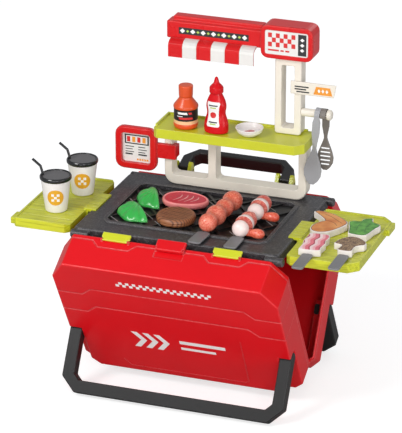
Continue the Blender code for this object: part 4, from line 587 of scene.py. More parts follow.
# The pale edge colour is a painted highlight along the trays' rims; the wood grain is their own
# pattern.
tray_lime = moulded(
    "lime tray plastic", (0.57, 0.60, 0.020), (0.80, 0.82, 0.30), coat=0.2,
    edge_width=0.0012, edge_amount=0.55, roughness=0.36, cloud_depth=0.12, cloud_scale=30,
)
tray_tree = tray_lime.node_tree
long_place = add(tray_tree, "ShaderNodeMapping", {
    "Vector": add(tray_tree, "ShaderNodeTexCoord").outputs["Object"], "Scale": (22.0, 330.0, 330.0),
})
wood = add(tray_tree, "ShaderNodeTexNoise", {
    "Vector": long_place.outputs[0], "Scale": 1.0, "Detail": 3.0, "Distortion": 0.6,
})
recolour(tray_lime, ramp(
    tray_tree, wood.outputs["Fac"], (0.36, (0.42, 0.43, 0.008)), (0.52, (0.58, 0.60, 0.020))
))
dress(tray_lime, "side_tray_left", "side_tray_right")
shelf_lime = moulded(
    "lime shelf plastic", (0.55, 0.57, 0.016), (0.80, 0.82, 0.30), coat=0.2, edge_width=0.0012,
    edge_amount=0.6, roughness=0.36, cloud_depth=0.12, cloud_scale=30,
)
dress(shelf_lime, "shelf")


# Kitchen stand: one warm white moulding with two windows under the lime shelf, and
# an open white post on the shelf for the sign.

warm_white = moulded(
    "warm white plastic", (0.78, 0.72, 0.62), (0.93, 0.89, 0.82), coat=0.2,
    edge_width=0.0018, edge_amount=0.5, roughness=0.36, cloud_depth=0.06,
)
dress(warm_white, "support_frame", "sign_post", "side_sign", "hook_bar")


# Menu board: a red frame clipped to the stand's left post, with a printed white card
# behind its window. The print is plain blocks, bars and dots.

sign_red = moulded(
    "glossy red sign plastic", (0.62, 0.007, 0.009), (0.90, 0.22, 0.20), coat=0.15,
    specular=0.3, edge_width=0.0014, edge_amount=0.55, roughness=0.28,
)
dress(sign_red, "menu_frame", "sign_box", "sign_beam", "awning")
card_white = moulded(
    "white card", (0.74, 0.72, 0.69), (0.9, 0.9, 0.9), edge_amount=0.0, roughness=0.5,
    edge_width=0.0001,
)
dress(card_white, "menu_panel", "sign_box_panel", "awning_white_1", "awning_white_2",
      "awning_white_3")


def ink(name, colour):
    """A flat ink of one colour."""
    return moulded(name, colour, colour, edge_amount=0.0, cloud_scale=150, cloud_depth=0.10,
                   roughness=0.45, edge_width=0.0001)


black_ink = ink("black ink", (0.020, 0.020, 0.022))
red_ink = ink("red ink", (0.62, 0.02, 0.02))
orange_ink = ink("orange ink", (0.80, 0.30, 0.03))
ink_layer = 0.0001


def print_blocks(name, body, front, blocks, *inks):
    """Printed rectangles on an upright card whose face is at y = front."""
    shape = bmesh.new()
    for left, right, low, high, slot in blocks:
        plate(shape, box_outline(left, right, low, high), ink_foot, ink_layer * (slot + 1),
              lambda u, v, depth: (u, front - depth, v), slot)
    return piece(name, shape, body, *inks)


low_corner, high_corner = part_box("menu_panel")
left, right = low_corner[0], high_corner[0]
foot, head = low_corner[2], high_corner[2]
wide = right - left
tall = head - foot
menu_blocks = [
    (left + wide * 0.08, right - wide * 0.08, head - tall * 0.40, head - tall * 0.08, 0),
    (left + wide * 0.13, right - wide * 0.13, head - tall * 0.36, head - tall * 0.12, 1),
]
for count in range(4):
    start = left + wide * (0.16 + 0.18 * count)
    menu_blocks.append(
        (start, start + wide * 0.11, head - tall * 0.33, head - tall * 0.15, 2 + count % 2)
    )
for row in range(4):
    line = head - tall * (0.50 + 0.09 * row)
    for start, length in ((0.10, 0.30 - 0.05 * (row % 2)), (0.55, 0.24 + 0.06 * (row % 2))):
        menu_blocks.append((
            left + wide * start, left + wide * (start + length), line,
            line + tall * (0.05 if row == 3 else 0.028), 0
        ))
for count in range(5):
    start = left + wide * (0.50 + 0.085 * count)
    menu_blocks.append((start, start + wide * 0.06, foot + tall * 0.06, foot + tall * 0.12, 3))
print_blocks("menu_print", "worktop", low_corner[1], menu_blocks, black_ink, card_white,
             red_ink, orange_ink)


# Sign: a stepped red beam over six short awning stripes, and a red box with a white
# card. The printing is plain: a row of diamonds on a dark strip, and red checks.

def upright(front):
    """Lays (u, v, depth) on an upright face at y = front."""
    return lambda u, v, depth: (u, front - depth, v)


def diamond(u, v, half_width, half_height):
    """The four corners of a diamond round its middle."""
    return [(u - half_width, v), (u, v - half_height), (u + half_width, v), (u, v + half_height)]


leaf_ink = ink("leaf green ink", (0.42, 0.56, 0.10))
beam_low, beam_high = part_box("sign_beam")
strip_left = beam_low[0] + 0.0205
strip_right = beam_high[0] - 0.0215
strip_low = beam_low[2] + 0.0085
strip_high = beam_low[2] + 0.0195
strip_middle = (strip_low + strip_high) / 2
strip_top = 0.0002
diamond_top = 0.0003
diamond_margin = 0.0062
diamond_step = 0.00865
on_beam = upright(beam_low[1])
strip = bmesh.new()
plate(strip, box_outline(strip_left, strip_right, strip_low, strip_high), ink_foot, strip_top,
      on_beam)
for count in range(13):
    u = strip_left + diamond_margin + count * diamond_step
    big = count % 2 == 0
    size = 0.0040 if big else 0.0024
    plate(strip, diamond(u, strip_middle, size * 1.1, size), strip_top, diamond_top, on_beam,
          1 if big else 2)
piece("beam_print", strip, "worktop", black_ink, white_ink, leaf_ink)

first_ink = 0.00015
second_ink = 0.00025
card_low, card_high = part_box("sign_box_panel")
on_card = upright(card_low[1])
card_left, card_foot = card_low[0], card_low[2]
card_right, card_head = card_high[0], card_high[2]
cell_wide = 0.0064
cell_tall = 0.0075
bar_low = card_foot + 0.0055
bar_high = card_foot + 0.0082
panel_left = card_right - 0.0160
panel_right = card_right - 0.0025
panel_margin = 0.002
box_print = bmesh.new()
for row in range(3):
    for column in range(7):
        if (row + column) % 2 == 0:
            u = card_left + 0.0050 + column * cell_wide
            v = card_foot + 0.0125 + row * cell_tall
            plate(box_print, box_outline(u, u + cell_wide, v, v + cell_tall), ink_foot, first_ink,
                  on_card)
for left, right in ((0.0050, 0.0230), (0.0255, 0.0310), (0.0335, 0.0400)):
    plate(box_print, box_outline(card_left + left, card_left + right, bar_low, bar_high),
          ink_foot, first_ink, on_card)
plate(box_print, box_outline(panel_left, panel_right, card_foot + panel_margin,
                             card_head - panel_margin), ink_foot, first_ink, on_card, 1)
for rise in (0.011, 0.0195, 0.028):
    plate(box_print, diamond((panel_left + panel_right) / 2, card_foot + rise, 0.0036, 0.0030),
          first_ink, second_ink, on_card, 2)
piece("box_print", box_print, "worktop", red_ink, black_ink, white_ink)


# Side sign: a white plate fixed to the post, with a slanted orange patch and three dark
# bars printed on it.

arm_low, arm_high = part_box("side_sign")
on_arm = upright(arm_low[1])
arm_left = arm_low[0]
patch_foot = arm_low[2] + 0.0030
patch_head = arm_high[2] - 0.0050
patch_left = arm_left + 0.0380
patch_right = arm_left + 0.0690
patch_slant = 0.0040
stripe_low = arm_high[2] - 0.0090
stripe_tall = 0.0022
stripe_step = 0.0042
spark_left = arm_left + 0.0470
spark_step = 0.0065
arm_print = bmesh.new()
plate(arm_print, [
    (patch_left, patch_foot), (patch_right, patch_foot), (patch_right - patch_slant, patch_head),
    (patch_left + patch_slant, patch_head),
], ink_foot, first_ink, on_arm)
for count, (start, end) in enumerate(((0.007, 0.030), (0.007, 0.026), (0.010, 0.031))):
    low = stripe_low - count * stripe_step
    plate(arm_print, box_outline(arm_left + start, arm_left + end, low, low + stripe_tall),
          ink_foot, first_ink, on_arm, 1)
for count in range(3):
    plate(arm_print, diamond(spark_left + count * spark_step, (patch_foot + patch_head) / 2,
                             0.0024, 0.0034), first_ink, second_ink, on_arm, 2)
piece("arm_print", arm_print, "worktop", orange_ink, black_ink, white_ink)


# Utensils: a pale grey spatula and a brown-grey slotted turner, moulded in satin
# plastic with a fine grain, hung by their bent ends on the white hook bar.

utensil_grey = moulded(
    "pale grey utensil plastic", (0.33, 0.33, 0.345), (0.62, 0.62, 0.63), edge_width=0.0009,
    edge_amount=0.5, roughness=0.42, grain_scale=1500, grain_height=0.00003, cloud_depth=0.10,
)
dress(utensil_grey, "spatula")
turner_brown = moulded(
    "brown-grey turner plastic", (0.190, 0.168, 0.150), (0.36, 0.33, 0.30), edge_width=0.0008,
    edge_amount=0.5, roughness=0.45, grain_scale=1300, grain_height=0.00005, cloud_depth=0.14,
    cloud_scale=60,
)
dress(turner_brown, "slotted_turner")


# Sauce bottles: a round orange one with a dark paper label between two bands, and a
# flat red squeeze bottle with a waisted white label. Both are blown plastic.

def rounded(points, reach, steps=4):
    """The same profile with its corners rounded over this reach."""
    smooth = [points[0]]
    for before, here, after in zip(points, points[1:], points[2:]):
        corner = Vector(here)
        back = Vector(before) - corner
        ahead = Vector(after) - corner
        start = corner + back.normalized() * min(reach, back.length * 0.48)
        end = corner + ahead.normalized() * min(reach, ahead.length * 0.48)
        for step in range(steps + 1):
            share = step / steps
            smooth.append(
                start * (1 - share) ** 2 + corner * 2 * share * (1 - share) + end * share ** 2
            )
    smooth.append(points[-1])
    return [(point[0], point[1]) for point in smooth]


def turned(shape, profile, centre, around=72, squash=1.0, limits=()):
    """A round form from (radius, height) points. A new slot starts at each height limit."""
    rings = []
    for radius, height in profile:
        count = 1 if radius < 1e-6 else around
        rings.append([
            shape.verts.new((
                centre[0] + radius * math.cos(2 * math.pi * i / around),
                centre[1] + radius * math.sin(2 * math.pi * i / around) * squash,
                centre[2] + height,
            )) for i in range(count)
        ])
    for (lower, upper), (here, there) in zip(zip(rings, rings[1:]), zip(profile, profile[1:])):
        slot = sum((here[1] + there[1]) / 2 > limit for limit in limits)
        if len(lower) == 1 and len(upper) == 1:
            continue
        for i in range(around):
            after = (i + 1) % around
            corners = dict.fromkeys((
                lower[i % len(lower)], lower[after % len(lower)],
                upper[after % len(upper)], upper[i % len(upper)],
            ))
            shape.faces.new(list(corners)).material_index = slot


def sheet(shape, grid, slot=0, thickness=0.0001):
    """A thin skin through a grid of places, made solid."""
    rows = [[shape.verts.new(place) for place in row] for row in grid]
    faces = []
    for lower, upper in zip(rows, rows[1:]):
        for i in range(len(lower) - 1):
            faces.append(shape.faces.new((lower[i], lower[i + 1], upper[i + 1], upper[i])))
    for face in faces:
        face.material_index = slot
    bmesh.ops.recalc_face_normals(shape, faces=faces)
    bmesh.ops.solidify(shape, geom=faces, thickness=thickness)


def middle_of(node):
    """The middle of a node's box, at the height of its foot."""
    low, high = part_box(node)
    return Vector(((low[0] + high[0]) / 2, (low[1] + high[1]) / 2, low[2]))


facing = camera_turn - math.pi / 2


def wrapped(centre, radius_at, squash, left, right, low, high, columns=16, rows=6):
    """Grid of places on a round form; left and right may depend on the height."""
    grid = []
    for row in range(rows + 1):
        height = low + (high - low) * row / rows
        radius = radius_at(height)
        line = []
        for column in range(columns + 1):
            share = column / columns
            along = left(height) + (right(height) - left(height)) * share
            turn = facing + along / radius
            line.append((
                centre[0] + radius * math.cos(turn),
                centre[1] + radius * math.sin(turn) * squash, centre[2] + height,
            ))
        grid.append(line)
    return grid


sauce_orange = moulded(
    "orange sauce plastic", (0.70, 0.080, 0.014), (0.93, 0.42, 0.25), coat=0.1,
    edge_width=0.0014, edge_amount=0.45, roughness=0.30, cloud_depth=0.10,
)
band_cream = moulded(
    "pale label band", (0.86, 0.50, 0.26), (0.9, 0.6, 0.4), edge_amount=0.2, roughness=0.38,
)
label_black = moulded(
    "black paper label", (0.014, 0.013, 0.013), (0.12, 0.12, 0.12), specular=0.3,
    edge_width=0.0004, edge_amount=0.3, roughness=0.36,
)
sauce_radius = 0.020
sauce_height = 0.043
sauce_neck = 0.0108
band_foot, band_top, label_top = 0.0086, 0.0145, 0.0327
sauce_place = middle_of("sauce_bottle")
sauce_body = bmesh.new()
turned(sauce_body, rounded([
    (0, 0), (sauce_radius * 0.88, 0), (sauce_radius * 0.97, sauce_height * 0.06),
    (sauce_radius, sauce_height * 0.17), (sauce_radius * 0.96, sauce_height * 0.20),
    (sauce_radius * 0.96, band_top), (sauce_radius * 0.96, sauce_height * 0.76),
    (sauce_radius, sauce_height * 0.79), (sauce_radius, sauce_height * 0.86),
    (sauce_neck, sauce_height * 1.14), (sauce_neck, sauce_height * 1.20), (0, sauce_height * 1.20),
], 0.0016), sauce_place, limits=(band_foot, band_top, label_top))
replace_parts(piece("sauce_bottle_body", sauce_body, "sauce_bottle", sauce_orange, band_cream,
                  label_black, sauce_orange, soften=35), "sauce_bottle")
sauce_label = bmesh.new()
label_radius = sauce_radius * 0.96 + first_ink
label_slant = 0.4
for left, right, low, high, slot in (
    (-0.0130, 0.0030, 0.0262, 0.0297, 0), (0.0052, 0.0105, 0.0262, 0.0297, 1),
    (-0.0110, 0.0120, 0.0178, 0.0212, 1), (-0.0150, -0.0050, 0.0222, 0.0234, 0),
):
    sheet(sauce_label, wrapped(
        sauce_place, lambda z: label_radius, 1.0, lambda z: left - (z - low) * label_slant,
        lambda z: right - (z - low) * label_slant, low, high,
    ), slot)
piece("sauce_label_print", sauce_label, "sauce_bottle", white_ink, red_ink, soften=35)
cap_radius = 0.0112
cap_height = 0.0185
sauce_cap = bmesh.new()
turned(sauce_cap, rounded([
    (0, 0), (cap_radius, 0), (cap_radius * 1.04, cap_height * 0.94),
    (cap_radius * 0.95, cap_height), (0, cap_height),
], 0.0012), middle_of("sauce_bottle_cap"))
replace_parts(piece("sauce_bottle_top", sauce_cap, "sauce_bottle", sauce_orange, soften=35),
            "sauce_bottle_cap")

ketchup_red = moulded(
    "red squeeze plastic", (0.60, 0.004, 0.009), (0.88, 0.25, 0.24),
    specular=0.25, edge_width=0.0014, edge_amount=0.45, roughness=0.26,
)
squeeze_radius = 0.020
squeeze_height = 0.066
squeeze_squash = 0.72
squeeze_neck = 0.0095
squeeze_profile = rounded([
    (0, 0), (squeeze_radius * 0.94, 0), (squeeze_radius, squeeze_height * 0.04),
    (squeeze_radius, squeeze_height * 0.22), (squeeze_radius * 0.90, squeeze_height * 0.34),
    (squeeze_radius * 0.76, squeeze_height * 0.46), (squeeze_radius * 0.76, squeeze_height * 0.54),
    (squeeze_radius * 0.83, squeeze_height * 0.64), (squeeze_radius * 0.81, squeeze_height * 0.74),
    (squeeze_radius * 0.68, squeeze_height * 0.86), (squeeze_neck, squeeze_height * 0.98),
    (squeeze_neck, squeeze_height), (0, squeeze_height),
], 0.006, 6)
squeeze_place = middle_of("squeeze_bottle")
squeeze_body = bmesh.new()
turned(squeeze_body, squeeze_profile, squeeze_place, squash=squeeze_squash)
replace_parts(piece("squeeze_bottle_body", squeeze_body, "squeeze_bottle", ketchup_red, soften=40),
            "squeeze_bottle")


def squeeze_radius_at(height):
    """The squeeze bottle's half width at this height."""
    for here, there in zip(squeeze_profile, squeeze_profile[1:]):
        if here[1] <= height <= there[1] and there[1] > here[1]:
            share = (height - here[1]) / (there[1] - here[1])
            return here[0] + (there[0] - here[0]) * share
    return squeeze_radius


def on_squeeze(left, right, low, high, lift, columns=14, rows=16):
    """Grid on the bottle's front, from left(v) to right(v) across."""
    grid = []
    for row in range(rows + 1):
        v = low + (high - low) * row / rows
        half = squeeze_radius_at(v)
        line = []
        for column in range(columns + 1):
            u = left(v) + (right(v) - left(v)) * column / columns
            deep = math.sqrt(max(half * half - u * u, 0)) * squeeze_squash
            line.append((squeeze_place.x + u, squeeze_place.y - deep - lift, squeeze_place.z + v))
        grid.append(line)
    return grid


label_foot = 0.0125
label_tall = 0.0405
label_across = -0.0015
label_lift = 0.00012
label_ink_lift = 0.00026
spot_radius = 0.0050
spot_height = 0.0315


def label_half(v):
    """Half the width of the waisted label, with rounded ends."""
    share = (v - label_foot) / label_tall
    waist = 0.0088 + 0.0030 * (2 * share - 1) ** 2
    end = min(share, 1 - share) * label_tall
    return waist - (0.0025 * (1 - min(end / 0.003, 1)) ** 2)


def spot_half(v):
    """Half the width of the label's round spot."""
    return math.sqrt(max(spot_radius ** 2 - (v - spot_height) ** 2, 1e-9))


squeeze_label = bmesh.new()
sheet(squeeze_label, on_squeeze(
    lambda v: label_across - label_half(v), lambda v: label_across + label_half(v),
    label_foot, label_foot + label_tall, label_lift,
))
sheet(squeeze_label, on_squeeze(
    lambda v: label_across - spot_half(v), lambda v: label_across + spot_half(v),
    spot_height - spot_radius, spot_height + spot_radius, label_ink_lift,
), 1)
bar_tall = 0.0020
for low, half, slot in (
    (0.0462, 0.0075, 2), (0.0425, 0.0050, 3), (0.0190, 0.0070, 2), (0.0160, 0.0050, 3),
):
    sheet(squeeze_label, on_squeeze(
        lambda v: label_across - half, lambda v: label_across + half, low, low + bar_tall,
        label_ink_lift, rows=2,
    ), slot)
piece("squeeze_label_print", squeeze_label, "squeeze_bottle", white_ink, red_ink, black_ink,
      leaf_ink, soften=35)
nozzle_radius = 0.0112
nozzle_height = 0.0265
nozzle = bmesh.new()
turned(nozzle, rounded([
    (0, 0), (nozzle_radius, 0), (nozzle_radius, nozzle_height * 0.34),
    (nozzle_radius * 0.80, nozzle_height * 0.44), (nozzle_radius * 0.42, nozzle_height * 0.60),
    (nozzle_radius * 0.22, nozzle_height * 0.94), (0, nozzle_height),
], 0.0016), middle_of("squeeze_nozzle"))
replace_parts(piece("squeeze_bottle_top", nozzle, "squeeze_bottle", ketchup_red, soften=40),
            "squeeze_nozzle")


# Sauce dish: a small white bowl with a wavy pool of red sauce moulded in it.

dish_white = moulded(
    "white dish plastic", (0.82, 0.79, 0.76), (0.93, 0.92, 0.9), coat=0.3, edge_width=0.0008,
    edge_amount=0.4, roughness=0.30, cloud_depth=0.04,
)
pool_red = moulded(
    "red sauce pool", (0.50, 0.016, 0.030), (0.80, 0.2, 0.2), coat=0.5, edge_width=0.0008,
    edge_amount=0.4, roughness=0.22,
)
dish_radius = 0.0225
dish_wall = 0.0016
dish_height = 0.013
dish_place = middle_of("dish")
dish_shape = bmesh.new()
turned(dish_shape, rounded([
    (0, 0), (dish_radius * 0.55, 0), (dish_radius * 0.60, dish_height * 0.06),
    (dish_radius * 0.88, dish_height * 0.45), (dish_radius, dish_height),
    (dish_radius - dish_wall, dish_height), (dish_radius * 0.88 - dish_wall, dish_height * 0.5),
    (dish_radius * 0.58, dish_height * 0.24), (0, dish_height * 0.18),
], 0.0012), dish_place)
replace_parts(piece("dish_bowl", dish_shape, "dish", dish_white, soften=40), "dish")
pool = bmesh.new()
pool_place = Vector((dish_place.x, dish_place.y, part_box("dish_sauce")[0][2]))
turned(pool, rounded([
    (0, 0), (dish_radius * 0.40, 0), (dish_radius * 0.52, dish_height * 0.07),
    (dish_radius * 0.30, dish_height * 0.16), (0, dish_height * 0.22),
], 0.002), pool_place, around=60)
for vertex in pool.verts:
    out = Vector((vertex.co.x - pool_place.x, vertex.co.y - pool_place.y))
    turn = math.atan2(out.y, out.x)
    share = 1 - 0.10 * (1 + math.sin(3 * turn + 0.6))
    vertex.co.x = pool_place.x + out.x * share
    vertex.co.y = pool_place.y + out.y * share
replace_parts(piece("dish_pool", pool, "dish", pool_red, soften=50), "dish_sauce")


# Cups: white tapered cups with a round orange badge, press-on black lids with a grey
# inlay, and bent black straws.

cup_white = moulded(
    "white cup plastic", (0.80, 0.76, 0.74), (0.93, 0.92, 0.9), coat=0.2, edge_width=0.0010,
    edge_amount=0.4, roughness=0.36, cloud_depth=0.05, cloud_scale=40,
)
badge_orange = ink("orange badge ink", (0.74, 0.36, 0.020))
lid_black = moulded(
    "glossy black lid plastic", (0.010, 0.010, 0.011), (0.14, 0.14, 0.14), coat=0.2,
    edge_width=0.0007, edge_amount=0.4, roughness=0.22,
)
inlay_grey = moulded(
    "grey lid inlay", (0.115, 0.11, 0.112), (0.3, 0.3, 0.3), edge_width=0.0004, edge_amount=0.3,
    roughness=0.46, grain_scale=1400, grain_height=0.00005,
)


def tube_tree():
    """A round tube with filleted bends along a line of points."""
    tree = bpy.data.node_groups.new("tube along a line", "GeometryNodeTree")
    for name, kind in (
        ("Line", "NodeSocketGeometry"), ("Tube Radius", "NodeSocketFloat"),
        ("Bend Radius", "NodeSocketFloat"), ("Finish", "NodeSocketMaterial"),
    ):
        tree.interface.new_socket(name, in_out="INPUT", socket_type=kind)
    tree.interface.new_socket("Mesh", in_out="OUTPUT", socket_type="NodeSocketGeometry")
    given = add(tree, "NodeGroupInput").outputs
    route = add(tree, "GeometryNodeMeshToCurve", {0: given["Line"]})
    bent = add(tree, "GeometryNodeFilletCurve", {
        "Curve": route.outputs[0], "Count": 6, "Radius": given["Bend Radius"],
        "Limit Radius": True,
    }, mode="POLY")
    ring = add(tree, "GeometryNodeCurvePrimitiveCircle", {
        "Resolution": 20, "Radius": given["Tube Radius"],
    })
    tube = add(tree, "GeometryNodeCurveToMesh", {
        "Curve": bent.outputs[0], "Profile Curve": ring.outputs[0], "Fill Caps": True,
    })
    whole = add(tree, "GeometryNodeRealizeInstances", {0: tube.outputs[0]})
    finished = add(tree, "GeometryNodeSetMaterial", {
        "Geometry": whole.outputs[0], "Material": given["Finish"],
    })
    add(tree, "NodeGroupOutput", {0: finished.outputs[0]})
    return tree


tube_along_line = tube_tree()


cup_foot = 0.0175
cup_top = 0.0238
cup_height = 0.0520


def cup_body(name):
    """The tapered cup, which its lid closes."""
    body = bmesh.new()
    turned(body, rounded([
        (0, 0), (cup_foot * 0.95, 0), (cup_foot, cup_height * 0.03), (cup_top, cup_height),
        (0, cup_height),
    ], 0.0010), middle_of(name))
    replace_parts(piece(name + "_body", body, name, cup_white, soften=35), name)


def cup_badge(name):
    """A round orange badge with white checks on the cup's front."""
    place = middle_of(name)
    radius, rise, check = 0.0136, 0.0275, 0.0044

    def half(height):
        return math.sqrt(max(radius ** 2 - (height - rise) ** 2, 1e-9))

    def side(height, lift):
        return cup_foot + (cup_top - cup_foot) * height / cup_height + lift

    badge = bmesh.new()
    sheet(badge, wrapped(place, lambda v: side(v, 0.00015), 1.0, lambda v: -half(v), half,
                         rise - radius, rise + radius, rows=24))
    for row in range(3):
        for column in range(3):
            if (row + column) % 2 == 0:
                left = (column - 1.5) * check
                low = rise + (row - 1.5) * check
                sheet(badge, wrapped(
                    place, lambda v: side(v, 0.0003), 1.0, lambda v: left,
                    lambda v: left + check, low, low + check, columns=3, rows=2,
                ), 1)
    piece(name + "_badge", badge, name, badge_orange, white_ink, soften=35)


def cup_lid(name):
    """The press-on lid, with a grey inlay in its recess."""
    radius, height, recess = 0.0255, 0.0072, 0.0016
    place = middle_of(name + "_lid")
    lid = bmesh.new()
    turned(lid, rounded([
        (0, 0), (radius * 0.95, 0), (radius, height * 0.25), (radius, height * 0.72),
        (radius * 0.95, height), (radius * 0.87, height), (radius * 0.85, height - recess),
        (0, height - recess),
    ], 0.0007), place, around=90)
    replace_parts(piece(name + "_lid_rim", lid, name, lid_black, soften=35), name + "_lid")
    inlay = bmesh.new()
    turned(inlay, rounded([
        (0, 0), (radius * 0.83, 0), (radius * 0.83, 0.0003), (radius * 0.74, 0.0003),
        (radius * 0.73, 0.0001), (0, 0.0001),
    ], 0.0001), place + Vector((0, 0, height - recess)), around=90)
    piece(name + "_lid_inlay", inlay, name, inlay_grey, soften=35)


def cup_straw(name):
    """The bent straw that stands in the lid."""
    stand = middle_of(name + "_lid") + Vector((-0.0194, -0.0063, 0))
    steps = ((0, 0), (0, 0.0090), (-0.0036, 0.0210), (-0.0170, 0.0310))
    line = bpy.data.meshes.new(name + "_straw_tube")
    line.from_pydata([
        (stand.x + across, stand.y, stand.z + up) for across, up in steps
    ], [(0, 1), (1, 2), (2, 3)], [])
    straw = bpy.data.objects.new(name + "_straw_tube", line)
    bpy.context.collection.objects.link(straw)
    settle(straw, name, tube_along_line, tube_radius=0.0021, bend_radius=0.004, finish=lid_black)
    straw.data.shade_smooth()
    straw.data.set_sharp_from_angle(angle=math.radians(50))
    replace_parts(straw, name + "_straw")


for name in ("cup_front", "cup_rear"):
    cup_body(name)
    cup_badge(name)
    cup_lid(name)
    cup_straw(name)


# Peppers: two half slices of green pepper in glossy plastic, with ribs fanning out to
# a rim, and a pale painted highlight on the rim and the ribs.

pepper_green = moulded(
    "glossy green pepper plastic", (0.030, 0.42, 0.060), (0.36, 0.80, 0.38), coat=0.35,
    edge_width=0.0030, edge_amount=0.55, roughness=0.30, cloud_scale=70, cloud_depth=0.22,
)


def pepper(name, across, back, turn):
    """A domed half slice with ribs, its straight side folded inwards."""
    size, height = 0.038, 0.017
    rings, around = 18, 72
    inner = 30
    shape = bmesh.new()
    spot = Matrix.Translation((across + middle, back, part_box(name)[0][2])) @ Matrix.Rotation(
        turn, 4, "Z"
    )
    loops = []
    for ring in range(rings):
        rise = math.sin(math.pi / 2 * ring / rings)
        shrink = math.cos(math.pi / 2 * ring / rings)
        loop = []
        for step in range(around + 1):
            angle = math.pi * step / around
            rib = 0.5 + 0.5 * math.cos(11 * angle)
            lobe = 1 + 0.04 * math.cos(6 * angle) - 0.075 * rib ** 2 * rise
            loop.append(spot @ Vector((
                size * shrink * lobe * math.cos(angle),
                size * (0.04 + 0.84 * shrink * lobe * math.sin(angle)),
                height * rise * (1 - 0.22 * rib ** 2 * shrink),
            )))
        for step in range(1, inner):
            share = step / inner
            sag = 0.08 * math.sin(math.pi * share) * shrink
            fold = 0.03 * math.sin(5 * math.pi * share) ** 2 * rise
            loop.append(spot @ Vector((
                size * shrink * (2 * share - 1), size * (0.04 - sag + fold), height * rise
            )))
        loops.append([shape.verts.new(place) for place in loop])
    for lower, upper in zip(loops, loops[1:]):
        for i in range(len(lower)):
            after = (i + 1) % len(lower)
            shape.faces.new((lower[i], lower[after], upper[after], upper[i]))
    shape.faces.new(loops[0])
    crown = shape.verts.new(spot @ Vector((0, size * 0.10, height)))
    for i in range(len(loops[-1])):
        shape.faces.new((loops[-1][i], loops[-1][(i + 1) % len(loops[-1])], crown))
    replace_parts(piece(name + "_slice", shape, name, pepper_green, soften=60), name)


pepper("pepper_half_1", -0.084626, 0.023060, math.radians(117))
pepper("pepper_half_2", -0.091438, -0.039588, math.radians(132))


# Steak: an oval slice with a pale pink rim of fat round a marbled red face, moulded in
# one and painted.

fat_pink = moulded(
    "pale pink fat", (0.92, 0.27, 0.26), (0.97, 0.70, 0.66), coat=0.1, edge_width=0.0012,
    edge_amount=0.5, roughness=0.38, cloud_scale=90, cloud_depth=0.12,
)
meat_red = moulded(
    "marbled red meat", (0.62, 0.014, 0.036), (0.80, 0.3, 0.3), coat=0.05, edge_width=0.0002,
    edge_amount=0.3, roughness=0.36, cloud_scale=240, cloud_depth=0.30, grain_scale=500,
    grain_height=0.00015,
)
marble_pink = ink("marbling paint", (0.86, 0.44, 0.42))
steak_radius = 0.0385
steak_thick = 0.010
steak_across = -0.036942
steak_back = 0.023880
steak_place = Vector((steak_across + middle, steak_back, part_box("steak")[0][2]))


def tapered(shape):
    """Presses a round form into the steak's oval, narrower towards the right."""
    for vertex in shape.verts:
        across = vertex.co.x - steak_place.x
        deep = vertex.co.y - steak_place.y
        vertex.co.y = steak_place.y + deep * 0.72 * (1 - 0.16 * across / steak_radius)
    return shape


steak_rim = bmesh.new()
turned(steak_rim, rounded([
    (0, 0), (steak_radius * 0.94, 0), (steak_radius, steak_thick * 0.35),
    (steak_radius, steak_thick * 0.75), (steak_radius * 0.95, steak_thick),
    (steak_radius * 0.90, steak_thick * 0.96), (steak_radius * 0.87, steak_thick * 0.82),
    (0, steak_thick * 0.86),
], 0.0012), steak_place, around=96)
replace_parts(piece("steak_slice", tapered(steak_rim), "steak", fat_pink, soften=50), "steak")
steak_face = bmesh.new()
turned(steak_face, [
    (0, steak_thick * 0.80), (steak_radius * 0.87, steak_thick * 0.78),
    (steak_radius * 0.885, steak_thick * 0.88), (steak_radius * 0.60, steak_thick * 0.88),
    (0, steak_thick * 0.90),
], steak_place, around=96)
piece("steak_face", tapered(steak_face), "steak", meat_red, soften=60)
marbling = bmesh.new()
for count in range(4):
    start = -0.56 + count * 0.31
    long = 0.92 - 0.12 * abs(count - 1.5)
    grid = []
    for row in range(13):
        share = row / 12
        line = []
        for side in (-1, 1):
            across = start + 0.26 * math.sin(2.2 * share) + side * 0.036 * math.sin(0.3 + 2.5 * share)
            deep = (share - 0.5) * long * 2 * 0.75
            fall = math.hypot(across, deep)
            line.append((
                steak_place.x + across * steak_radius * 0.8,
                steak_place.y + deep * steak_radius * 0.8,
                steak_place.z + steak_thick * (0.903 - 0.020 * fall) + 0.0001,
            ))
        grid.append(line)
    sheet(marbling, grid)
piece("steak_marbling", tapered(marbling), "steak", marble_pink)


# Patty: a round brown burger with a seam moulded round its side. Its grill grooves are
# not moulded: dark wave bands and dark strips across it are painted shade where the
# grooves lie.

patty_brown = moulded(
    "brown patty plastic", (0.32, 0.120, 0.048), (0.50, 0.24, 0.13), edge_width=0.0016,
    edge_amount=0.5, roughness=0.42, cloud_scale=60, cloud_depth=0.16,
)
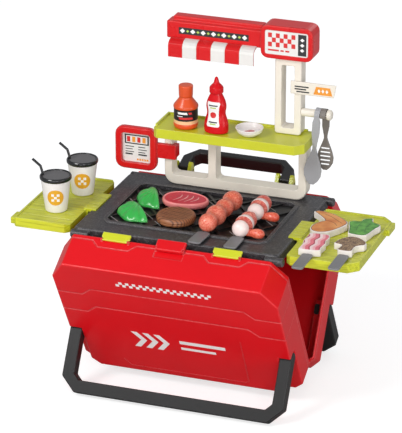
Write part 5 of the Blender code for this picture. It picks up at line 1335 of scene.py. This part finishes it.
# Dark wave bands in the patty's colour are painted shade for its grill grooves.
patty_tree = patty_brown.node_tree
patty_place = add(patty_tree, "ShaderNodeTexCoord").outputs["Object"]
turned_place = add(patty_tree, "ShaderNodeMapping", {
    "Vector": patty_place, "Rotation": (0, 0, math.radians(14)),
})
groove_shade_waves = add(patty_tree, "ShaderNodeTexWave", {
    "Vector": turned_place.outputs[0], "Scale": 78.0, "Distortion": 1.2, "Detail": 2.0,
    "Detail Scale": 1.2,
}, bands_direction="Y")
recolour(patty_brown, ramp(
    patty_tree, groove_shade_waves.outputs["Fac"], (0.0, (0.115, 0.036, 0.014)), (0.55, (0.34, 0.128, 0.052))
))
patty_radius = 0.0315
patty_thick = 0.013
patty_centre = middle_of("patty")
patty_shape = bmesh.new()
turned(patty_shape, rounded([
    (0, 0), (patty_radius * 0.90, 0), (patty_radius * 0.975, patty_thick * 0.22),
    (patty_radius * 0.985, patty_thick * 0.36), (patty_radius * 0.965, patty_thick * 0.42),
    (patty_radius * 0.985, patty_thick * 0.48), (patty_radius, patty_thick * 0.56),
    (patty_radius * 0.97, patty_thick * 0.8), (patty_radius * 0.90, patty_thick),
    (patty_radius * 0.80, patty_thick * 0.965), (0, patty_thick * 0.94),
], 0.0012), patty_centre, around=90)
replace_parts(piece("patty_slice", patty_shape, "patty", patty_brown, soften=50), "patty")

# Dark strips laid along the grooves are painted shade in them.
groove_shade_brown = ink("painted groove shade", (0.11, 0.034, 0.013))
groove_step = 0.0056
groove_half = 0.0006
groove_turn = 0.25
groove_shade = bmesh.new()
for count in range(-4, 5):
    line_at = count * groove_step
    half = math.sqrt((patty_radius * 0.80) ** 2 - line_at ** 2)
    grid = []
    for row in range(25):
        u = half * (2 * row / 24 - 1)
        places = []
        for side in (-1, 1):
            v = line_at + 0.0008 * math.sin(150 * u + count) + side * groove_half
            rise = patty_thick * (0.9405 + 0.03125 * math.hypot(u, v) / patty_radius)
            places.append((
                patty_centre.x + u * math.cos(groove_turn) + v * math.sin(groove_turn),
                patty_centre.y - u * math.sin(groove_turn) + v * math.cos(groove_turn),
                patty_centre.z + rise + ink_top,
            ))
        grid.append(places)
    sheet(groove_shade, grid)
piece("patty_grooves", groove_shade, "patty", groove_shade_brown)


# Skewers: grey sticks with flat grips. One carries four salmon-coloured meatballs, the
# other two striped prawns with orange tails. The food is slipped on the stick.

skewer_grey = moulded(
    "grey skewer plastic", (0.165, 0.165, 0.172), (0.48, 0.48, 0.48), edge_width=0.0011,
    edge_amount=0.6, roughness=0.40, grain_scale=1300, grain_height=0.00004,
)
dress(skewer_grey, "skewer_1_stick", "skewer_2_stick", "skewer_3_stick", "skewer_4_stick")


def row_radius(centres, radii, waist):
    """The radius along a row of rounded lumps that run into one another."""
    def radius_at(along):
        total = 0
        for centre, radius in zip(centres, radii):
            reach = 1 - ((along - centre) / radius) ** 2
            if reach > 0:
                total += (radius * reach ** 0.4) ** 9
        if centres[0] < along < centres[-1]:
            total += waist ** 9
        return total ** (1 / 9)
    return radius_at


def food_row(shape, start, end, radius_at, place, around=48, steps=110, limits=()):
    """A turned row along +Y, put in its place by a matrix."""
    rings = []
    stops = [start + (end - start) * (1 - math.cos(math.pi * i / steps)) / 2
             for i in range(steps + 1)]
    for i, along in enumerate(stops):
        radius = radius_at(along)
        count = 1 if i in (0, steps) else around
        rings.append([
            shape.verts.new(place @ Vector((
                radius * math.cos(2 * math.pi * k / around) if count > 1 else 0, along,
                radius * math.sin(2 * math.pi * k / around) if count > 1 else 0,
            ))) for k in range(count)
        ])
    for (lower, upper), (here, there) in zip(zip(rings, rings[1:]), zip(stops, stops[1:])):
        slot = sum((here + there) / 2 > limit for limit in limits) % 2
        for k in range(around):
            after = (k + 1) % around
            corners = dict.fromkeys((
                lower[k % len(lower)], lower[after % len(lower)],
                upper[after % len(upper)], upper[k % len(upper)],
            ))
            shape.faces.new(list(corners)).material_index = slot


def mottled(name, base, pale, edge_highlight, scale, **skin):
    """A glossy painted food plastic with a net of paler flecks."""
    material = moulded(name, base, edge_highlight, **skin)
    tree = material.node_tree
    place = add(tree, "ShaderNodeTexCoord").outputs["Object"]
    cells = add(tree, "ShaderNodeTexVoronoi", {"Vector": place, "Scale": scale}, feature="F1")
    clouds = add(tree, "ShaderNodeTexNoise", {"Vector": place, "Scale": scale * 0.3})
    both = calculate(tree, "MULTIPLY", cells.outputs["Distance"], clouds.outputs["Fac"])
    recolour(material, ramp(tree, both, (0.12, base), (0.42, pale)))
    return material


meatball_salmon = mottled(
    "salmon meatball plastic", (0.70, 0.095, 0.048), (0.86, 0.28, 0.19), (0.95, 0.5, 0.4), 420,
    coat=0.25, edge_width=0.0012, edge_amount=0.3, roughness=0.36, grain_scale=420,
    grain_height=0.00022,
)
prawn_white = moulded(
    "white prawn band", (0.90, 0.72, 0.68), (0.97, 0.9, 0.88), coat=0.25, edge_width=0.0012,
    edge_amount=0.4, roughness=0.34,
)
prawn_red = mottled(
    "red prawn band", (0.60, 0.075, 0.055), (0.82, 0.26, 0.20), (0.92, 0.5, 0.4), 320,
    coat=0.25, edge_width=0.0012, edge_amount=0.3, roughness=0.36,
)
tail_orange = mottled(
    "orange prawn tail", (0.70, 0.075, 0.035), (0.84, 0.20, 0.12), (0.93, 0.45, 0.35), 300,
    coat=0.3, edge_width=0.0012, edge_amount=0.3, roughness=0.34,
)
front_line = -0.086

ball_radius = 0.016
ball_step = 0.0325
ball_across = 0.035108
ball_turn = math.radians(-3.8)
ball_centres = [ball_step * (count + 0.34) for count in range(4)]
ball_radii = (ball_radius * 0.89, ball_radius, ball_radius * 0.89, ball_radius)
ball_place = Matrix.Translation((
    ball_across + middle, front_line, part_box("skewer_1_chicken")[0][2] + ball_radius
)) @ Matrix.Rotation(ball_turn, 4, "Z")
balls = bmesh.new()
food_row(balls, ball_centres[0] - ball_radii[0], ball_centres[-1] + ball_radii[-1],
         row_radius(ball_centres, ball_radii, ball_radius * 0.70), ball_place)
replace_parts(piece("meatball_row", balls, "skewer_1", meatball_salmon, soften=60),
            "skewer_1_chicken")

prawn_radius = 0.015
prawn_step = 0.072
prawn_across = 0.09039
prawn_bands = (0.0100, 0.0235, 0.0345, 0.0635, 0.0820, 0.0955, 0.1065)
prawn_place = Matrix.Translation((
    prawn_across + middle, front_line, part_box("skewer_2_prawns")[0][2] + prawn_radius
))
prawn_centres = [
    along + prawn_step * count for count in range(2) for along in (0.009, 0.027, 0.045)
]
prawn_radii = (prawn_radius * 0.89, prawn_radius, prawn_radius * 0.89) * 2
prawns = bmesh.new()
prawn_start = prawn_centres[0] - prawn_radii[0]
food_row(prawns, prawn_start, prawn_centres[-1] + prawn_radii[-1],
         row_radius(prawn_centres, prawn_radii, prawn_radius * 0.45), prawn_place,
         steps=140, limits=prawn_bands)
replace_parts(piece("prawn_row", prawns, "skewer_2", prawn_white, prawn_red, soften=60),
            "skewer_2_prawns")


tail_length = 0.029
tail_root = 0.0058
tail_swell = 0.0020
tail_along = 0.0135


def tail_radius(along):
    """Half the thickness of a prawn's tail: a slim root and a full round end."""
    share = along / tail_length
    body = tail_root + tail_swell * math.sin(max(share - 0.25, 0) / 0.75 * math.pi) ** 1.2
    close = max(1 - max(share - 0.80, 0) ** 2 / 0.04, 0) ** 0.5
    return body * close


tails = bmesh.new()
for count in range(2):
    root = prawn_place @ Matrix.Translation((
        prawn_radius * 0.55, tail_along + prawn_step * count, tail_root + tail_swell - prawn_radius
    ))
    food_row(tails, 0.0, tail_length, tail_radius, root @ Matrix.Rotation(-math.pi / 2, 4, "Z"),
             around=32, steps=40)
piece("prawn_tails", tails, "skewer_2", tail_orange, soften=60)


# Tokens: thick flat pieces of pale board with a printed top: wing, pepper slice, bacon
# and mushroom. The last two are pushed on short grey sticks.

board_cream = moulded(
    "pale board", (0.80, 0.74, 0.69), (0.94, 0.90, 0.86), edge_width=0.0008, edge_amount=0.5,
    roughness=0.50, cloud_scale=90, cloud_depth=0.10, grain_scale=700, grain_height=0.00006,
)
dress(board_cream, "wing_token", "slice_token", "bacon_token", "mushroom_token")
outline_brown = ink("brown outline ink", (0.13, 0.025, 0.014))
outline_green = ink("dark green outline ink", (0.020, 0.10, 0.012))
token_line = 0.0007


def softened(outline, rounds=2):
    """The same outline with its corners cut smooth."""
    for _ in range(rounds):
        cut = []
        for i, here in enumerate(outline):
            after = outline[(i + 1) % len(outline)]
            cut.append(tuple(Vector(here) * 0.75 + Vector(after) * 0.25))
            cut.append(tuple(Vector(here) * 0.25 + Vector(after) * 0.75))
        outline = cut
    return outline


def distance_to(outline, point):
    """How far a point lies from the nearest stretch of a closed outline."""
    nearest = 1.0
    for i, start in enumerate(outline):
        start = Vector(start)
        stretch = Vector(outline[(i + 1) % len(outline)]) - start
        share = max(0, min(1, (point - start).dot(stretch) / max(stretch.length_squared, 1e-12)))
        nearest = min(nearest, (point - start - stretch * share).length)
    return nearest


def inset(outline, margin):
    """The outline drawn in by a margin; points that would cross over are left out."""
    close = []
    for i, here in enumerate(outline):
        start, end = Vector(here), Vector(outline[(i + 1) % len(outline)])
        parts = math.ceil((end - start).length / 0.0005)
        close += [tuple(start.lerp(end, part / parts)) for part in range(parts)]
    outline = close
    count = len(outline)
    area = sum(
        outline[i][0] * outline[(i + 1) % count][1] - outline[(i + 1) % count][0] * outline[i][1]
        for i in range(count)
    )
    turn = 1 if area > 0 else -1
    drawn = []
    for i, here in enumerate(outline):
        along = (Vector(outline[(i + 1) % count]) - Vector(outline[i - 1])).normalized()
        point = Vector(here) + Vector((-along.y, along.x)) * margin * turn
        if distance_to(outline, point) > margin * 0.97:
            drawn.append(tuple(point))
    return drawn


def token_print(node, body, shares, layers, *inks, lines=()):
    """Prints a token's top: one flat layer for each margin, then lines in the first ink."""
    low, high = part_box(node)
    wide, deep = high[0] - low[0], high[1] - low[1]
    across, back = (low[0] + high[0]) / 2, (low[1] + high[1]) / 2
    outline = softened([(u * wide, v * deep) for u, v in shares])
    shape = bmesh.new()
    for count, margin in enumerate(layers):
        drawn = inset(outline, margin)
        bottom = ink_foot if count == 0 else ink_top
        plate(shape, drawn, bottom, ink_top + ink_layer * count,
              lambda u, v, depth: (across + u, back + v, high[2] + depth), count)
    for route in lines:
        line = band_outline([(u * wide, v * deep) for u, v in route], token_line)
        plate(shape, line, ink_top + ink_layer, ink_top + 2 * ink_layer,
              lambda u, v, depth: (across + u, back + v, high[2] + depth))
    return piece(node + "_print", shape, body, *inks)


wing_tan = mottled(
    "roasted wing ink", (0.60, 0.18, 0.035), (0.78, 0.34, 0.095), (0.9, 0.5, 0.2), 60,
    edge_width=0.0001, edge_amount=0.0, roughness=0.42,
)
token_print("wing_token", "wing_token", [
    (-0.50, 0.42), (-0.41, 0.50), (-0.23, 0.49), (0.04, 0.42), (0.30, 0.28), (0.46, 0.15),
    (0.50, 0.03), (0.38, -0.20), (0.22, -0.41), (-0.01, -0.50), (-0.18, -0.47), (-0.27, -0.37),
    (-0.29, -0.20), (-0.18, 0.00), (-0.06, 0.06), (-0.15, 0.16), (-0.28, 0.27), (-0.43, 0.38),
], (0.0009, 0.0018), outline_brown, wing_tan, lines=(
    ((-0.10, 0.09), (0.05, 0.07), (0.20, 0.00), (0.29, -0.10)),
    ((-0.20, 0.36), (0.02, 0.27), (0.22, 0.13), (0.36, 0.04)),
))
slice_green = mottled(
    "green slice ink", (0.050, 0.24, 0.018), (0.12, 0.40, 0.045), (0.2, 0.5, 0.1), 120,
    edge_width=0.0001, edge_amount=0.0, roughness=0.42,
)
token_print("slice_token", "slice_token", [
    (-0.50, 0.16), (-0.38, 0.25), (-0.16, 0.25), (-0.15, 0.40), (0.03, 0.49), (0.13, 0.50),
    (0.17, 0.30), (0.45, 0.22), (0.50, 0.14), (0.40, -0.05), (0.31, -0.45), (0.08, -0.50),
    (-0.18, -0.47), (-0.27, -0.45), (-0.35, -0.16), (-0.46, 0.05),
], (0.0009, 0.0018), outline_green, slice_green, lines=(
    ((-0.10, 0.20), (-0.14, 0.00), (-0.10, -0.25)), ((0.16, 0.18), (0.12, -0.02), (0.18, -0.28)),
))

bacon_ink = ink("bacon ink", (0.72, 0.20, 0.23))
bacon_tree = bacon_ink.node_tree
bacon_at = add(bacon_tree, "ShaderNodeSeparateXYZ", {
    0: add(bacon_tree, "ShaderNodeTexCoord").outputs["Object"],
}).outputs
swing = calculate(bacon_tree, "SINE", calculate(bacon_tree, "MULTIPLY", bacon_at["Y"], 240.0))
shifted = calculate(bacon_tree, "MULTIPLY_ADD", swing, 0.0016, bacon_at["X"])
streak = calculate(bacon_tree, "FRACT", calculate(bacon_tree, "MULTIPLY", shifted, 62.0))
recolour(bacon_ink, ramp(
    bacon_tree, streak, (0.0, (0.76, 0.17, 0.22)), (0.34, (0.40, 0.030, 0.060)),
    (0.46, (0.90, 0.68, 0.68)), (0.74, (0.88, 0.45, 0.48)), interpolation="CONSTANT",
))
token_print("bacon_token", "skewer_3", [
    (-0.49, 0.46), (-0.09, 0.50), (0.37, 0.50), (0.45, 0.31), (0.39, 0.12), (0.49, -0.01),
    (0.43, -0.24), (0.50, -0.44), (0.15, -0.49), (-0.15, -0.50), (-0.43, -0.50), (-0.43, -0.34),
    (-0.42, -0.19), (-0.50, 0.01), (-0.49, 0.20),
], (0.0010,), bacon_ink)

mushroom_brown = mottled(
    "speckled mushroom ink", (0.085, 0.036, 0.014), (0.42, 0.27, 0.14), (0.4, 0.3, 0.2), 520,
    edge_width=0.0001, edge_amount=0.0, roughness=0.42,
)
token_print("mushroom_token", "skewer_4", [
    (-0.50, -0.07), (-0.46, 0.15), (-0.31, 0.37), (-0.10, 0.50), (0.13, 0.47), (0.37, 0.33),
    (0.50, 0.16), (0.47, 0.03), (0.30, -0.05), (0.21, -0.18), (0.24, -0.46), (-0.01, -0.50),
    (-0.21, -0.48), (-0.26, -0.41), (-0.19, -0.18), (-0.25, -0.12), (-0.40, -0.10),
], (0.0009, 0.0017), outline_brown, mushroom_brown)
